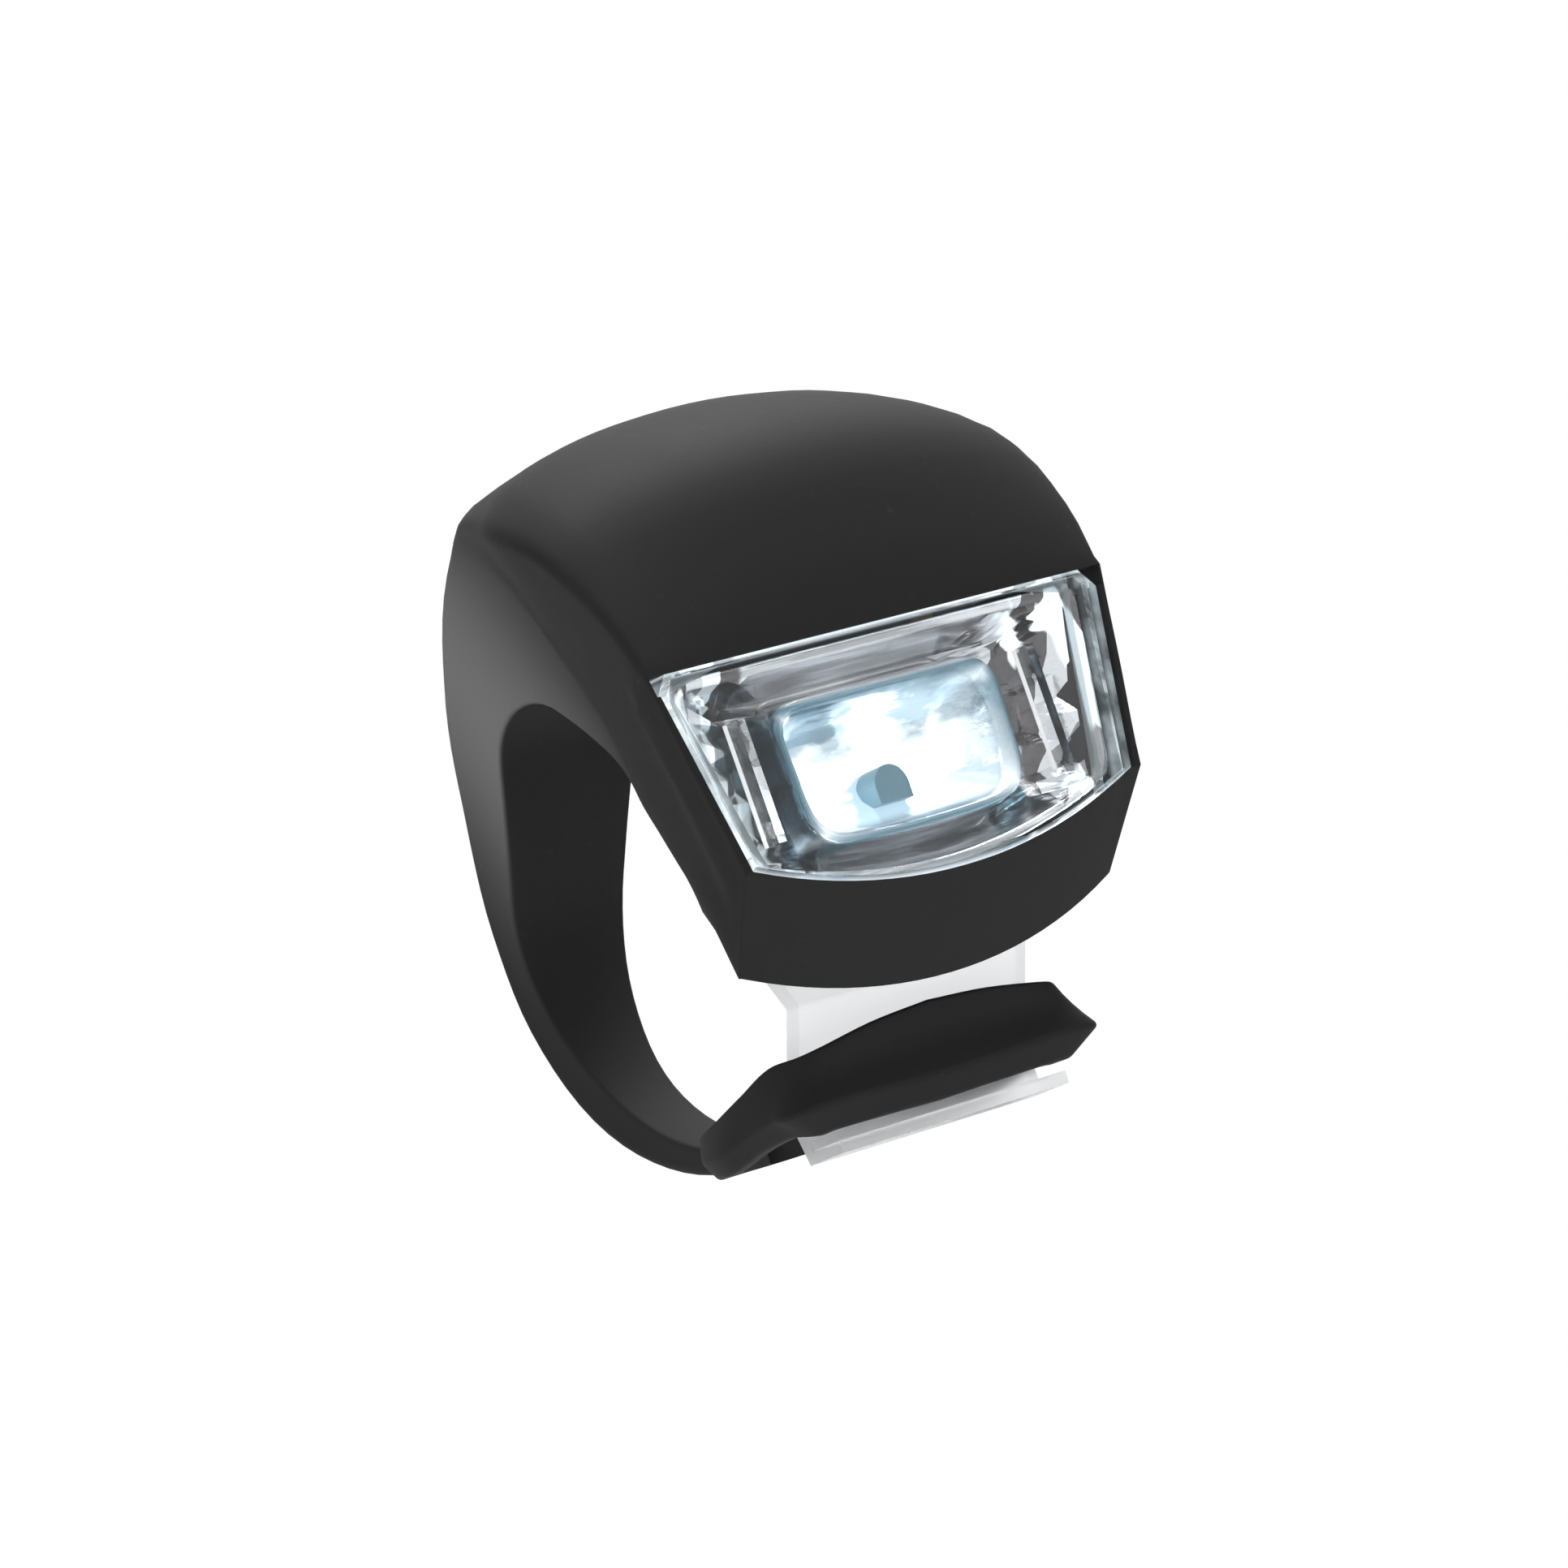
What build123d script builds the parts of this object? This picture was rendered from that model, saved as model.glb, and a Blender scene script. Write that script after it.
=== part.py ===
from build123d import *
import os
from math import cos, radians, sqrt, tan

os.makedirs("parts", exist_ok=True)

# Frame: the origin is on the axis of the handlebar, +X runs along the bar,
# -Y is the way the beam points and +Z is up. All sizes are in millimetres.

# Loop round the handlebar
bar_radius = 13.5
saddle_end_angle = 130.0
tail_start_angle = 30.0
arch_fillet = 5.4

# Layers of the head, from the outside in
skin = 1.6
skin_clearance = 0.18
housing_wall = 1.0
cover_wall = 1.0
seal_thickness = 0.4
seal_gap = 0.05
module_outer = skin + skin_clearance
module_inner = module_outer + housing_wall
module_back_angle = 98
module_floor_angle = 186.5

# Lens window, seen from the front
lens_face = -26.5
lens_top = 13.7
lens_top_half = 18.8
lens_bottom_corner = 0.6
lens_bottom_half = 16.2
lens_smile = 3.1
lens_corner = 1.3
lens_thickness = 2.2
lens_gap = 0.05
lens_chamfer = 0.35
rib_x = 12.25
rib_width = 0.7
rib_height = 8.0
rib_depth = 1.4
gasket_thickness = 0.2
gasket_gap = 0.1

# Lip under the lens, and the underside that rises behind it
lip_back = -21.9
lip_bottom_mid = -8.3
lip_bottom_corner = -5.8
lip_half = 16.0
underside_rise = 0.35
underside_end = -6.3
saddle_front_angle = 168.0

# Hook tongue under the head
tongue_half = 9.7
tongue_thickness = 1.3
tongue_gap = 0.15
tongue_heel = -15.2
foot_reach = -17.9
foot_top = -16.05
foot_thickness = 0.8

# Forked end of the tail strap, with its crossbar
split_angle = -75
split_gap = 0.1
slot_half = 10.1
slot_end = 1.0
crossbar_half = 13.3
crossbar_bottom = -15.95
barb_bottom = -16.5

# Hair gap that keeps parts apart where they are pressed together
fit = 0.03

# Coin cells, stacked on a tilted plane in the crown of the head
cell_radius = 8.0
cell_height = 3.2
cell_tilt = 12.0
cell_centre = (0, -13.2, 21.2)
cell_gap = 0.05
cell_rim = 0.7
cell_step = 0.25
cell_clearance = 0.1
tray_wall = 1.0
contact_thickness = 0.25
contact_back = 8.5
contact_width = 2.4
contact_tab_y = 4.6

# Board over the cells, measured along the normal of the tilted plane
board_bottom = 3.9
board_thickness = 0.8
board_top = board_bottom + board_thickness
board_width = 22.0
board_depth = 15.2
board_shift = 1.1
switch_height = 1.3
switch_width = 4.6
plunger_radius = 1.1
plunger_bottom = 5.35
plunger_chamfer = 0.15

# Button under the skin of the crown
button_radius = 2.6
button_flange_radius = 3.2
button_bottom = 6.4
button_height = 2.0
button_flange = 0.4
button_fillet = 0.35
button_clearance = 0.15

# Screws
screw_radius = 0.8
screw_head_radius = 1.3
screw_head_height = 0.5
screw_fit = 0.02
screw_hole_gap = 0.1
drive_length = 1.5
drive_width = 0.35
drive_depth = 0.3
cover_screw_length = 1.9
screw_places = (-5.6, 5.6)
screw_z = 1.2
post_radius = 1.5
post_length = 1.5
post_back = -16.0
cover_screw_head = -15.25
board_screw_length = 3.4
board_screw_place = (9.6, -3.2)

# Optics: two diodes in a trough-shaped reflector
reflector_front = -24.1
reflector_back = -20.4
flange_width = 23.0
flange_height = 14.0
flange_z = 5.7
trough_width = 17.0
trough_height = 9.0
trough_z = 4.0
trough_wall = 0.8
diode_spacing = 9.0
diode_size = 3.4
diode_package = 0.9
diode_dome = 0.7
diode_dome_radius = 1.45
post_width = 2.8
post_depth = 2.2
led_board_front = -18.7
led_board_thickness = 1.0

# Stations of the skin, fanned round the bar's axis from under the bar to the lip:
# angle, half-width on the bar, half-width and radius of the belt line, half-width and
# radius of the shoulder line, and radius of the crown at mid-width.
stations = [
    (-75, 2.2, 2.2, 14.8, 1.8, 15.2, 15.4),
    (-55, 2.3, 2.3, 15.4, 1.9, 15.9, 16.1),
    (-30, 2.7, 2.7, 16.1, 2.2, 16.7, 17.0),
    (-5, 3.7, 3.7, 15.9, 3.2, 16.4, 16.7),
    (20, 4.7, 4.7, 16.0, 4.2, 16.5, 16.8),
    (45, 5.3, 5.3, 18.4, 4.8, 19.0, 19.4),
    (65, 5.8, 6.1, 22.9, 5.7, 23.6, 24.1),
    (80, 6.0, 6.9, 26.8, 6.9, 27.8, 28.6),
    (90, 6.2, 7.0, 26.2, 8.6, 29.8, 31.2),
    (98, 6.5, 7.1, 22.5, 11.0, 29.5, 32.0),
    (107, 6.9, 7.4, 18.4, 14.0, 29.4, 33.3),
    (120, 7.6, 8.3, 15.8, 18.2, 30.5, 35.8),
    (133, 8.6, 9.6, 14.6, 20.1, 31.6, 35.8),
    (144, 9.2, 10.9, 14.5, 19.9, 31.0, 32.5),
    (153, 9.5, 11.7, 14.8, 19.4, 29.9, 30.1),
    (165, 9.7, 12.8, 15.9, 18.95, 29.2, 29.3),
    (178, 9.8, 14.1, 18.2, 17.8, 29.0, 29.1),
    (191, 9.8, 15.5, 20.9, 17.0, 30.0, 30.1),
    (204, 9.9, 16.4, 25.0, 16.6, 33.0, 33.1),
]
inner_radius = 12.6
# how far the crown's curve runs level before it drops to the shoulders
crown_fullness = 0.8


def fan_plane(angle):
    # plane through the bar's axis, whose local y points out at this angle
    normal = Vector(0, 1, 0).rotate(Axis.X, angle + 90)
    return Plane(origin=(0, 0, 0), x_dir=(1, 0, 0), z_dir=normal)


def out_at(angle, radius):
    # point of the YZ plane at this angle and distance from the bar's axis
    point = Vector(1, 0, 0).rotate(Axis.Z, angle) * radius
    return (point.X, point.Y)


def loop_wall(angle, offset):
    # distance from the bar's axis to the loop's wall, moved outwards by an offset
    return (bar_radius + offset) / cos(radians(max(0.0, saddle_end_angle - angle)))


def skin_solid(inset, first, last):
    # the moulded form between two angles, drawn in by an inset
    with BuildPart() as form:
        for angle, bar_half, belt_half, belt, shoulder_half, shoulder, crown in stations:
            if not first <= angle <= last:
                continue
            # height of the curve's two handles, which lifts its middle to the crown
            pull = shoulder + (crown - shoulder) / 0.75
            floor = inner_radius
            belt_radius = belt
            if inset > 0:
                floor = loop_wall(angle, 0.8 * inset)
                belt_radius = max(belt, floor) + 0.6 * inset
            with BuildSketch(fan_plane(angle)):
                with BuildLine():
                    Polyline(
                        (inset - shoulder_half, shoulder - inset),
                        (inset - belt_half, belt_radius),
                        (inset - bar_half, floor),
                        (bar_half - inset, floor),
                        (belt_half - inset, belt_radius),
                        (shoulder_half - inset, shoulder - inset),
                    )
                    Bezier(
                        (shoulder_half - inset, shoulder - inset),
                        (crown_fullness * (shoulder_half - inset), pull - inset),
                        (crown_fullness * (inset - shoulder_half), pull - inset),
                        (inset - shoulder_half, shoulder - inset),
                    )
                make_face()
        loft()
    return form.part


def module_solid(inset):
    # the space of the module inside the skin, with flat walls at its back and its floor
    wall = inset - skin
    with BuildPart() as form:
        add(skin_solid(inset, module_back_angle, 204))
        split(bisect_by=fan_plane(module_back_angle).offset(wall), keep=Keep.TOP)
        split(bisect_by=fan_plane(module_floor_angle).offset(-wall), keep=Keep.BOTTOM)
    return form.part


def loop_solid(offset):
    # the space round the bar: its circle and the arch where two tangents meet over it
    radius = bar_radius + offset
    half_open = (saddle_end_angle - tail_start_angle) / 2
    peak = radius / cos(radians(half_open))
    with BuildPart() as space:
        with BuildSketch(Plane.YZ):
            with BuildLine():
                CenterArc((0, 0), radius, saddle_end_angle, 360 - 2 * half_open)
                Polyline(
                    out_at(tail_start_angle, radius),
                    out_at(tail_start_angle + half_open, peak),
                    out_at(saddle_end_angle, radius),
                )
            outline = make_face()
            top_corner = outline.vertices().sort_by_distance((0, 0))[-1]
            fillet(top_corner, arch_fillet + offset)
        extrude(amount=30, both=True)
    return space.part


def window_sketch(margin):
    # outline of the lens seen from the front, with its smiling lower edge
    bottom_half = lens_bottom_half + margin
    corner = lens_bottom_corner - margin
    top_half = lens_top_half + margin
    with BuildSketch() as window:
        with BuildLine():
            Polyline(
                (-bottom_half, corner),
                (-top_half, lens_top + margin),
                (top_half, lens_top + margin),
                (bottom_half, corner),
            )
            ThreePointArc((bottom_half, corner), (0, corner - lens_smile), (-bottom_half, corner))
        outline = make_face()
        chamfer(outline.vertices().group_by(Axis.Y)[-1], lens_corner)
    return window.sketch


def front_plane(y):
    # plane facing forwards at this y, with local x along +X and local y up
    return Plane(origin=(0, y, 0), x_dir=(1, 0, 0), z_dir=(0, -1, 0))


def front_prism(sketch, y_front, y_back):
    # prism of a front view between two depths
    with BuildPart() as prism:
        with BuildSketch(front_plane(y_back)):
            add(sketch)
        extrude(amount=y_back - y_front)
    return prism.part


def front_box(y):
    # everything in front of this y, up to the height of the lens
    with BuildPart() as block:
        with Locations((0, y, lens_top + 0.2)):
            Box(60, 20, 40, align=(Align.CENTER, Align.MAX, Align.MAX))
    return block.part


def under_arc(half, side_height, mid_height, reach, depth):
    # front view of everything below an arc that dips in its middle
    radius = (half**2 + (side_height - mid_height) ** 2) / (2 * (side_height - mid_height))
    end_height = mid_height + radius - sqrt(radius**2 - reach**2)
    with BuildSketch() as below:
        with BuildLine():
            ThreePointArc((-reach, end_height), (0, mid_height), (reach, end_height))
            Polyline((reach, end_height), (reach, -depth), (-reach, -depth), (-reach, end_height))
        make_face()
    return below.sketch


lens_bottom_mid = lens_bottom_corner - lens_smile
under_lens = under_arc(lens_bottom_half, lens_bottom_corner, lens_bottom_mid, 24, 60)
under_lip = under_arc(lip_half, lip_bottom_corner, lip_bottom_mid, 24, 40)


def tongue_side(gap):
    # side view of the hook tongue: down from the cover, back, and forwards into its foot
    front = [(-16.0, -1.0), (-16.02, -2.35), (-18.5, -7.3), (-16.9, -10.2), (tongue_heel, -14.0)]
    foot_bottom = foot_top - foot_thickness
    with BuildSketch() as side:
        with BuildLine():
            Polyline(
                *[(y - gap, z) for y, z in front],
                (tongue_heel - gap, foot_top),
                (foot_reach, foot_top),
                (foot_reach, foot_bottom),
                (tongue_heel + 0.6 * tongue_thickness, foot_bottom),
                *[(y + tongue_thickness + gap, z) for y, z in reversed(front)],
                close=True,
            )
        make_face()
    return side.sketch


def tilted(x=0, y=0, h=0):
    # plane parallel to the coin cells, at a place in their own axes
    plane = Plane(cell_centre, x_dir=(1, 0, 0), z_dir=Vector(0, 0, 1).rotate(Axis.X, cell_tilt))
    return Plane(plane.from_local_coords((x, y, h)), x_dir=plane.x_dir, z_dir=plane.z_dir)


outer_form = skin_solid(0, split_angle, 204)
inner_space = module_solid(module_inner + 0.1)
with BuildPart() as pocket:
    add(module_solid(skin))
    add(loop_solid(skin), mode=Mode.SUBTRACT)
    add(front_box(lens_face + lens_thickness + lens_gap), mode=Mode.SUBTRACT)

# silicone skin: the head with its lip, and the tail strap that runs on from it
with BuildPart() as silicone_body:
    add(outer_form)
    add(loop_solid(0), mode=Mode.SUBTRACT)
    # flat front that carries the lens
    split(bisect_by=front_plane(lens_face), keep=Keep.BOTTOM)
    # lip tucked back under the lens, its lower edge smiling like the lens
    with BuildSketch(front_plane(lens_face)):
        add(under_lens)
    extrude(
        amount=40,
        dir=(0, lip_back - lens_face, lip_bottom_mid - lens_bottom_mid),
        mode=Mode.SUBTRACT,
    )
    add(front_prism(under_lip, -40, lip_back), mode=Mode.SUBTRACT)
    # underside: rising behind the lip, then steeply up to the bar
    with BuildSketch(front_plane(lip_back)):
        add(under_lip)
    extrude(amount=20, dir=(0, 1, underside_rise), mode=Mode.SUBTRACT)
    with BuildSketch(Plane.YZ):
        with BuildLine():
            front_end = out_at(saddle_front_angle, bar_radius)
            run = (front_end[1] - underside_end) * tan(radians(180 - saddle_front_angle))
            Polyline(
                front_end,
                (front_end[0] - run, underside_end),
                (front_end[0] - run, -12),
                (-8, -12),
                (-8, front_end[1]),
                front_end,
            )
        make_face()
    extrude(amount=30, both=True, mode=Mode.SUBTRACT)
    # pocket of the module and window of the lens
    add(pocket.part, mode=Mode.SUBTRACT)
    window_back = lens_face + lens_thickness + lens_gap
    add(front_prism(window_sketch(lens_gap), lens_face - 1, window_back), mode=Mode.SUBTRACT)
    # slit that lets the hook tongue out
    with BuildSketch(Plane.YZ):
        add(tongue_side(tongue_gap))
    extrude(amount=tongue_half + tongue_gap, both=True, mode=Mode.SUBTRACT)
silicone_body.part.label = "silicone_body"
export_step(silicone_body.part, "parts/silicone_body.step")

# tail strap's forked end: two legs round a slot, joined by a dished crossbar
with BuildPart() as strap_end:
    with BuildSketch(Plane.XY.offset(-20)):
        with BuildLine():
            right = Polyline((0, 6), (2.2, 6), (2.3, 3.5), (9.2, -4.2), (12.2, -11))
            Polyline(right @ 1, (crossbar_half, -16.8), (crossbar_half, -19.6), (0, -19.6))
            mirror(about=Plane.YZ)
        make_face()
        # slot that the hook tongue passes through
        with BuildLine():
            Polyline((0, slot_end), (1.2, slot_end), (7.6, -4.8), (slot_half, -8.6), (slot_half, -16.9))
            Line((slot_half, -16.9), (0, -16.9))
            mirror(about=Plane.YZ)
        make_face(mode=Mode.SUBTRACT)
    extrude(amount=12)
    # side view: thin under the bar, deeper towards the crossbar
    with BuildSketch(Plane.YZ):
        with BuildLine():
            floor_line = Polyline((8, -13.6), (3.9, -14.6), (0, -15.1), (-9, -15.5), (-15, -16.5))
            Polyline(
                floor_line @ 1,
                (-17.7, -16.5),
                (-18.5, -14.4),
                (-19.0, -10.0),
                (-16.6, -10.0),
                (-14.2, -11.6),
                (-9.0, -12.4),
                (-4, -13.0),
                (0, -13.4),
                (8, -11.6),
                floor_line @ 0,
            )
        make_face()
    extrude(amount=20, both=True, mode=Mode.INTERSECT)
    # front view: an arched top, slanted tips and a notch for the foot of the tongue
    with BuildSketch(front_plane(10)):
        with BuildLine():
            Polyline(
                (-10.7, -11.2),
                (-crossbar_half, -14.2),
                (-slot_half, barb_bottom),
                (slot_half, barb_bottom),
                (crossbar_half, -14.2),
                (10.7, -11.2),
            )
            ThreePointArc((10.7, -11.2), (0, -10.1), (-10.7, -11.2))
        make_face()
    extrude(amount=40, mode=Mode.INTERSECT)
    # step in the crossbar's underside that takes the foot of the tongue
    with Locations((0, tongue_heel, crossbar_bottom - 1)):
        Box(2 * slot_half, 9, 2, mode=Mode.SUBTRACT)
    add(loop_solid(0), mode=Mode.SUBTRACT)
    split(bisect_by=fan_plane(split_angle).offset(-split_gap), keep=Keep.BOTTOM)
strap_end.part.label = "strap_end"
export_step(strap_end.part, "parts/strap_end.step")

# clear lens: flush with the flanks, with two ribs behind it beside the reflector
with BuildPart() as lens_cover:
    add(front_prism(window_sketch(0), lens_face, lens_face + lens_thickness))
    add(outer_form, mode=Mode.INTERSECT)
    chamfer(lens_cover.faces().sort_by(Axis.Y)[0].edges(), lens_chamfer)
    with BuildSketch(front_plane(lens_face + lens_thickness)):
        with Locations((-rib_x, 6), (rib_x, 6)):
            Rectangle(rib_width, rib_height)
    extrude(amount=-rib_depth)
lens_cover.part.label = "lens_cover"
export_step(lens_cover.part, "parts/lens_cover.step")

# shell of the module, open at the front and towards the bar
gasket_back = lens_face + lens_thickness + gasket_gap + gasket_thickness + seal_gap
seal_outer = module_outer + cover_wall + seal_thickness
with BuildPart() as module_housing:
    add(module_solid(module_outer))
    add(loop_solid(seal_outer), mode=Mode.SUBTRACT)
    add(module_solid(module_inner), mode=Mode.SUBTRACT)
    add(front_box(gasket_back), mode=Mode.SUBTRACT)
    # hole of the button
    with BuildSketch(tilted(h=board_top)):
        Circle(button_radius + button_clearance)
    extrude(amount=8, mode=Mode.SUBTRACT)
    # posts that take the cover's screws
    for x in screw_places:
        with BuildSketch(front_plane(post_back)):
            with Locations((x, screw_z)):
                Circle(post_radius)
            with Locations((x, screw_z - 1.7)):
                Rectangle(2 * post_radius, 3.4)
        extrude(amount=post_length)
        with BuildSketch(front_plane(post_back)):
            with Locations((x, screw_z)):
                Circle(screw_radius)
        extrude(amount=post_length - 0.2, mode=Mode.SUBTRACT)
    add(loop_solid(seal_outer), mode=Mode.SUBTRACT)
module_housing.part.label = "module_housing"
export_step(module_housing.part, "parts/module_housing.step")

# cover on the bar side, with the hook tongue that runs down through the lip
with BuildPart() as battery_cover:
    add(module_solid(module_outer))
    add(loop_solid(module_outer + cover_wall), mode=Mode.INTERSECT)
    add(loop_solid(module_outer), mode=Mode.SUBTRACT)
    for x in screw_places:
        with BuildSketch(front_plane(-10)):
            with Locations((x, screw_z)):
                Circle(screw_radius + screw_hole_gap)
        extrude(amount=8, mode=Mode.SUBTRACT)
        with BuildSketch(front_plane(cover_screw_head - screw_head_height)):
            with Locations((x, screw_z)):
                Circle(screw_head_radius + screw_hole_gap)
        extrude(amount=-2, mode=Mode.SUBTRACT)
    with BuildSketch(Plane.YZ):
        add(tongue_side(0))
    extrude(amount=tongue_half, both=True)
battery_cover.part.label = "battery_cover"
export_step(battery_cover.part, "parts/battery_cover.step")

# seal squeezed between the cover and the rim of the housing
with BuildPart() as cover_seal:
    add(module_solid(module_outer + 0.15))
    add(loop_solid(seal_outer - seal_gap), mode=Mode.INTERSECT)
    add(loop_solid(module_outer + cover_wall + seal_gap), mode=Mode.SUBTRACT)
    add(inner_space, mode=Mode.SUBTRACT)
cover_seal.part.label = "cover_seal"
export_step(cover_seal.part, "parts/cover_seal.step")

# gasket between the lens and the front rim of the housing
with BuildPart() as lens_gasket:
    add(module_solid(module_outer + 0.1))
    add(front_box(gasket_back - seal_gap), mode=Mode.INTERSECT)
    split(bisect_by=front_plane(lens_face + lens_thickness + gasket_gap), keep=Keep.BOTTOM)
    add(module_solid(module_inner - 0.1), mode=Mode.SUBTRACT)
lens_gasket.part.label = "lens_gasket"
export_step(lens_gasket.part, "parts/lens_gasket.step")


# reflector: a trough open to the front, its flange and the post between the diodes
with BuildPart() as reflector:
    with BuildSketch(front_plane(reflector_front)):
        with Locations((0, flange_z)):
            RectangleRounded(flange_width, flange_height, 1.2)
    extrude(amount=-trough_wall)
    for grow, mode in ((trough_wall, Mode.ADD), (0, Mode.SUBTRACT)):
        with BuildSketch(front_plane(reflector_front)):
            with Locations((0, trough_z)):
                RectangleRounded(
                    trough_width + 2 * grow, trough_height + 2 * grow, trough_height / 2 - 0.1 + grow
                )
        extrude(amount=reflector_front - reflector_back - (trough_wall - grow), taper=14, mode=mode)
    # openings of the diodes
    with BuildSketch(front_plane(reflector_back)):
        with GridLocations(diode_spacing, 1, 2, 1):
            with Locations((0, trough_z)):
                Rectangle(diode_size + 0.2, diode_size + 0.2)
    extrude(amount=2, mode=Mode.SUBTRACT)
    # rounded post between the diodes
    with BuildSketch(front_plane(reflector_back - 0.3)):
        with Locations((0, trough_z - 1.8)):
            Circle(post_width / 2)
            with Locations((0, -1.0)):
                Rectangle(post_width, 2.0)
    extrude(amount=post_depth)
    # side walls that stand on the diodes' board
    with BuildSketch(front_plane(led_board_front - 0.05)):
        with GridLocations(flange_width - 1, 1, 2, 1):
            with Locations((0, flange_z + 0.5)):
                Rectangle(1, flange_height - 3)
    extrude(amount=led_board_front - 0.05 - reflector_front)
    add(inner_space, mode=Mode.INTERSECT)
reflector.part.label = "reflector"
export_step(reflector.part, "parts/reflector.step")

# two diodes, each a square package with a shallow dome
for side, name in ((-1, "led_left"), (1, "led_right")):
    with BuildPart() as diode:
        with BuildSketch(front_plane(led_board_front - fit)):
            with Locations((side * diode_spacing / 2, trough_z)):
                Rectangle(diode_size, diode_size)
        extrude(amount=diode_package)
        with BuildSketch(front_plane(led_board_front - fit - diode_package)):
            with Locations((side * diode_spacing / 2, trough_z)):
                Circle(diode_dome_radius)
        extrude(amount=diode_dome)
        chamfer(diode.faces().sort_by(Axis.Y)[0].edges(), 0.5)
    diode.part.label = name
    export_step(diode.part, "parts/" + name + ".step")

# board of the diodes, with a notch in each side
with BuildPart() as led_board:
    with BuildSketch(front_plane(led_board_front)):
        with Locations((0, 6.6)):
            RectangleRounded(22.4, 11.6, 1.0)
        with Locations((-11.2, 9.0), (11.2, 9.0)):
            Circle(1.0, mode=Mode.SUBTRACT)
    extrude(amount=-led_board_thickness)
    add(inner_space, mode=Mode.INTERSECT)
led_board.part.label = "led_board"
export_step(led_board.part, "parts/led_board.step")

# coin cells, each a can with a stepped rim
for side, name in ((-1, "coin_cell_lower"), (1, "coin_cell_upper")):
    base = cell_gap if side > 0 else -cell_gap - cell_height
    with BuildPart() as cell:
        with BuildSketch(tilted(h=base)):
            Circle(cell_radius - cell_rim)
        extrude(amount=cell_height)
        with BuildSketch(tilted(h=base + cell_step)):
            Circle(cell_radius)
        extrude(amount=cell_height - cell_step)
        chamfer(cell.edges().filter_by(GeomType.CIRCLE).group_by(SortBy.RADIUS)[-1], 0.2)
    cell.part.label = name
    export_step(cell.part, "parts/" + name + ".step")

# tray round the cells, with the posts that carry the main board
tray_bottom = -cell_height - 0.4
with BuildPart() as cell_tray:
    with BuildSketch(tilted(h=tray_bottom)):
        Circle(cell_radius + cell_clearance + tray_wall)
        Circle(cell_radius + cell_clearance, mode=Mode.SUBTRACT)
    extrude(amount=2 * cell_height)
    for x in (-board_screw_place[0], board_screw_place[0]):
        with BuildSketch(tilted(x, board_screw_place[1], tray_bottom)):
            Circle(post_radius)
        extrude(amount=board_bottom - fit - tray_bottom)
        with BuildSketch(tilted(x, board_screw_place[1], board_bottom)):
            Circle(screw_radius)
        extrude(amount=-board_screw_length + 0.4, mode=Mode.SUBTRACT)
    with BuildSketch(tilted(h=tray_bottom)):
        Circle(cell_radius + cell_clearance)
    extrude(amount=2 * cell_height, mode=Mode.SUBTRACT)
    # gap at the back for the contact
    with BuildSketch(tilted(0, 9, tray_bottom)):
        Rectangle(5, 4)
    extrude(amount=2 * cell_height, mode=Mode.SUBTRACT)
    add(inner_space, mode=Mode.INTERSECT)
cell_tray.part.label = "cell_tray"
export_step(cell_tray.part, "parts/cell_tray.step")

contact_bottom = -cell_height - 2 * cell_gap
contact_top = cell_height + 2 * cell_gap

# sprung contact under the lower cell, bent up beside it to the board
with BuildPart() as negative_contact:
    with BuildSketch(tilted(0, contact_back / 2, contact_bottom)):
        Rectangle(contact_width, contact_back)
    extrude(amount=-contact_thickness)
    with BuildSketch(tilted(0, contact_back - contact_thickness / 2, contact_bottom)):
        Rectangle(contact_width, contact_thickness)
    extrude(amount=board_bottom - fit - contact_bottom)
negative_contact.part.label = "negative_contact"
export_step(negative_contact.part, "parts/negative_contact.step")

# contact over the upper cell: a strip with two arms and a tab up to the board
with BuildPart() as positive_contact:
    with BuildSketch(tilted(h=contact_top)):
        RectangleRounded(3.0, 12.0, 0.8)
        RectangleRounded(11.0, 2.6, 0.8)
    extrude(amount=contact_thickness)
    with BuildSketch(tilted(0, contact_tab_y, contact_top)):
        Rectangle(contact_width, contact_thickness)
    extrude(amount=board_bottom - fit - contact_top)
positive_contact.part.label = "positive_contact"
export_step(positive_contact.part, "parts/positive_contact.step")

# main board over the cells
with BuildPart() as main_board:
    with BuildSketch(tilted(h=board_bottom)):
        with Locations((0, board_shift)):
            RectangleRounded(board_width, board_depth, 2.0)
        with Locations(board_screw_place, (-board_screw_place[0], board_screw_place[1])):
            Circle(screw_radius + screw_hole_gap, mode=Mode.SUBTRACT)
    extrude(amount=board_thickness)
    add(inner_space, mode=Mode.INTERSECT)
main_board.part.label = "main_board"
export_step(main_board.part, "parts/main_board.step")

# flat link from the diodes' board up to the main board
with BuildPart() as board_link:
    with BuildSketch(Plane.YZ.offset(9.3)):
        with BuildLine():
            path = Polyline((-17.55, 11.0), (-17.55, 13.2), (-19.85, 20.0), (-19.85, 23.6))
            Polyline(path @ 1, (-19.6, 23.6), (-19.6, 20.0), (-17.3, 13.2), (-17.3, 11.0), path @ 0)
        make_face()
    extrude(amount=1.8)
board_link.part.label = "board_link"
export_step(board_link.part, "parts/board_link.step")

# driver chip with its leads
chip_x = -5.9
chip_y = 1.5
with BuildPart() as driver_chip:
    with BuildSketch(tilted(chip_x, chip_y, board_top + 0.1 + fit)):
        Rectangle(3.9, 4.9)
    extrude(amount=0.85)
    for x in (chip_x - 2.4, chip_x + 2.4):
        with BuildSketch(tilted(x, chip_y, board_top + fit)):
            with GridLocations(1, 1.27, 1, 4):
                Rectangle(1.1, 0.4)
        extrude(amount=0.4)
driver_chip.part.label = "driver_chip"
export_step(driver_chip.part, "parts/driver_chip.step")

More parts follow.
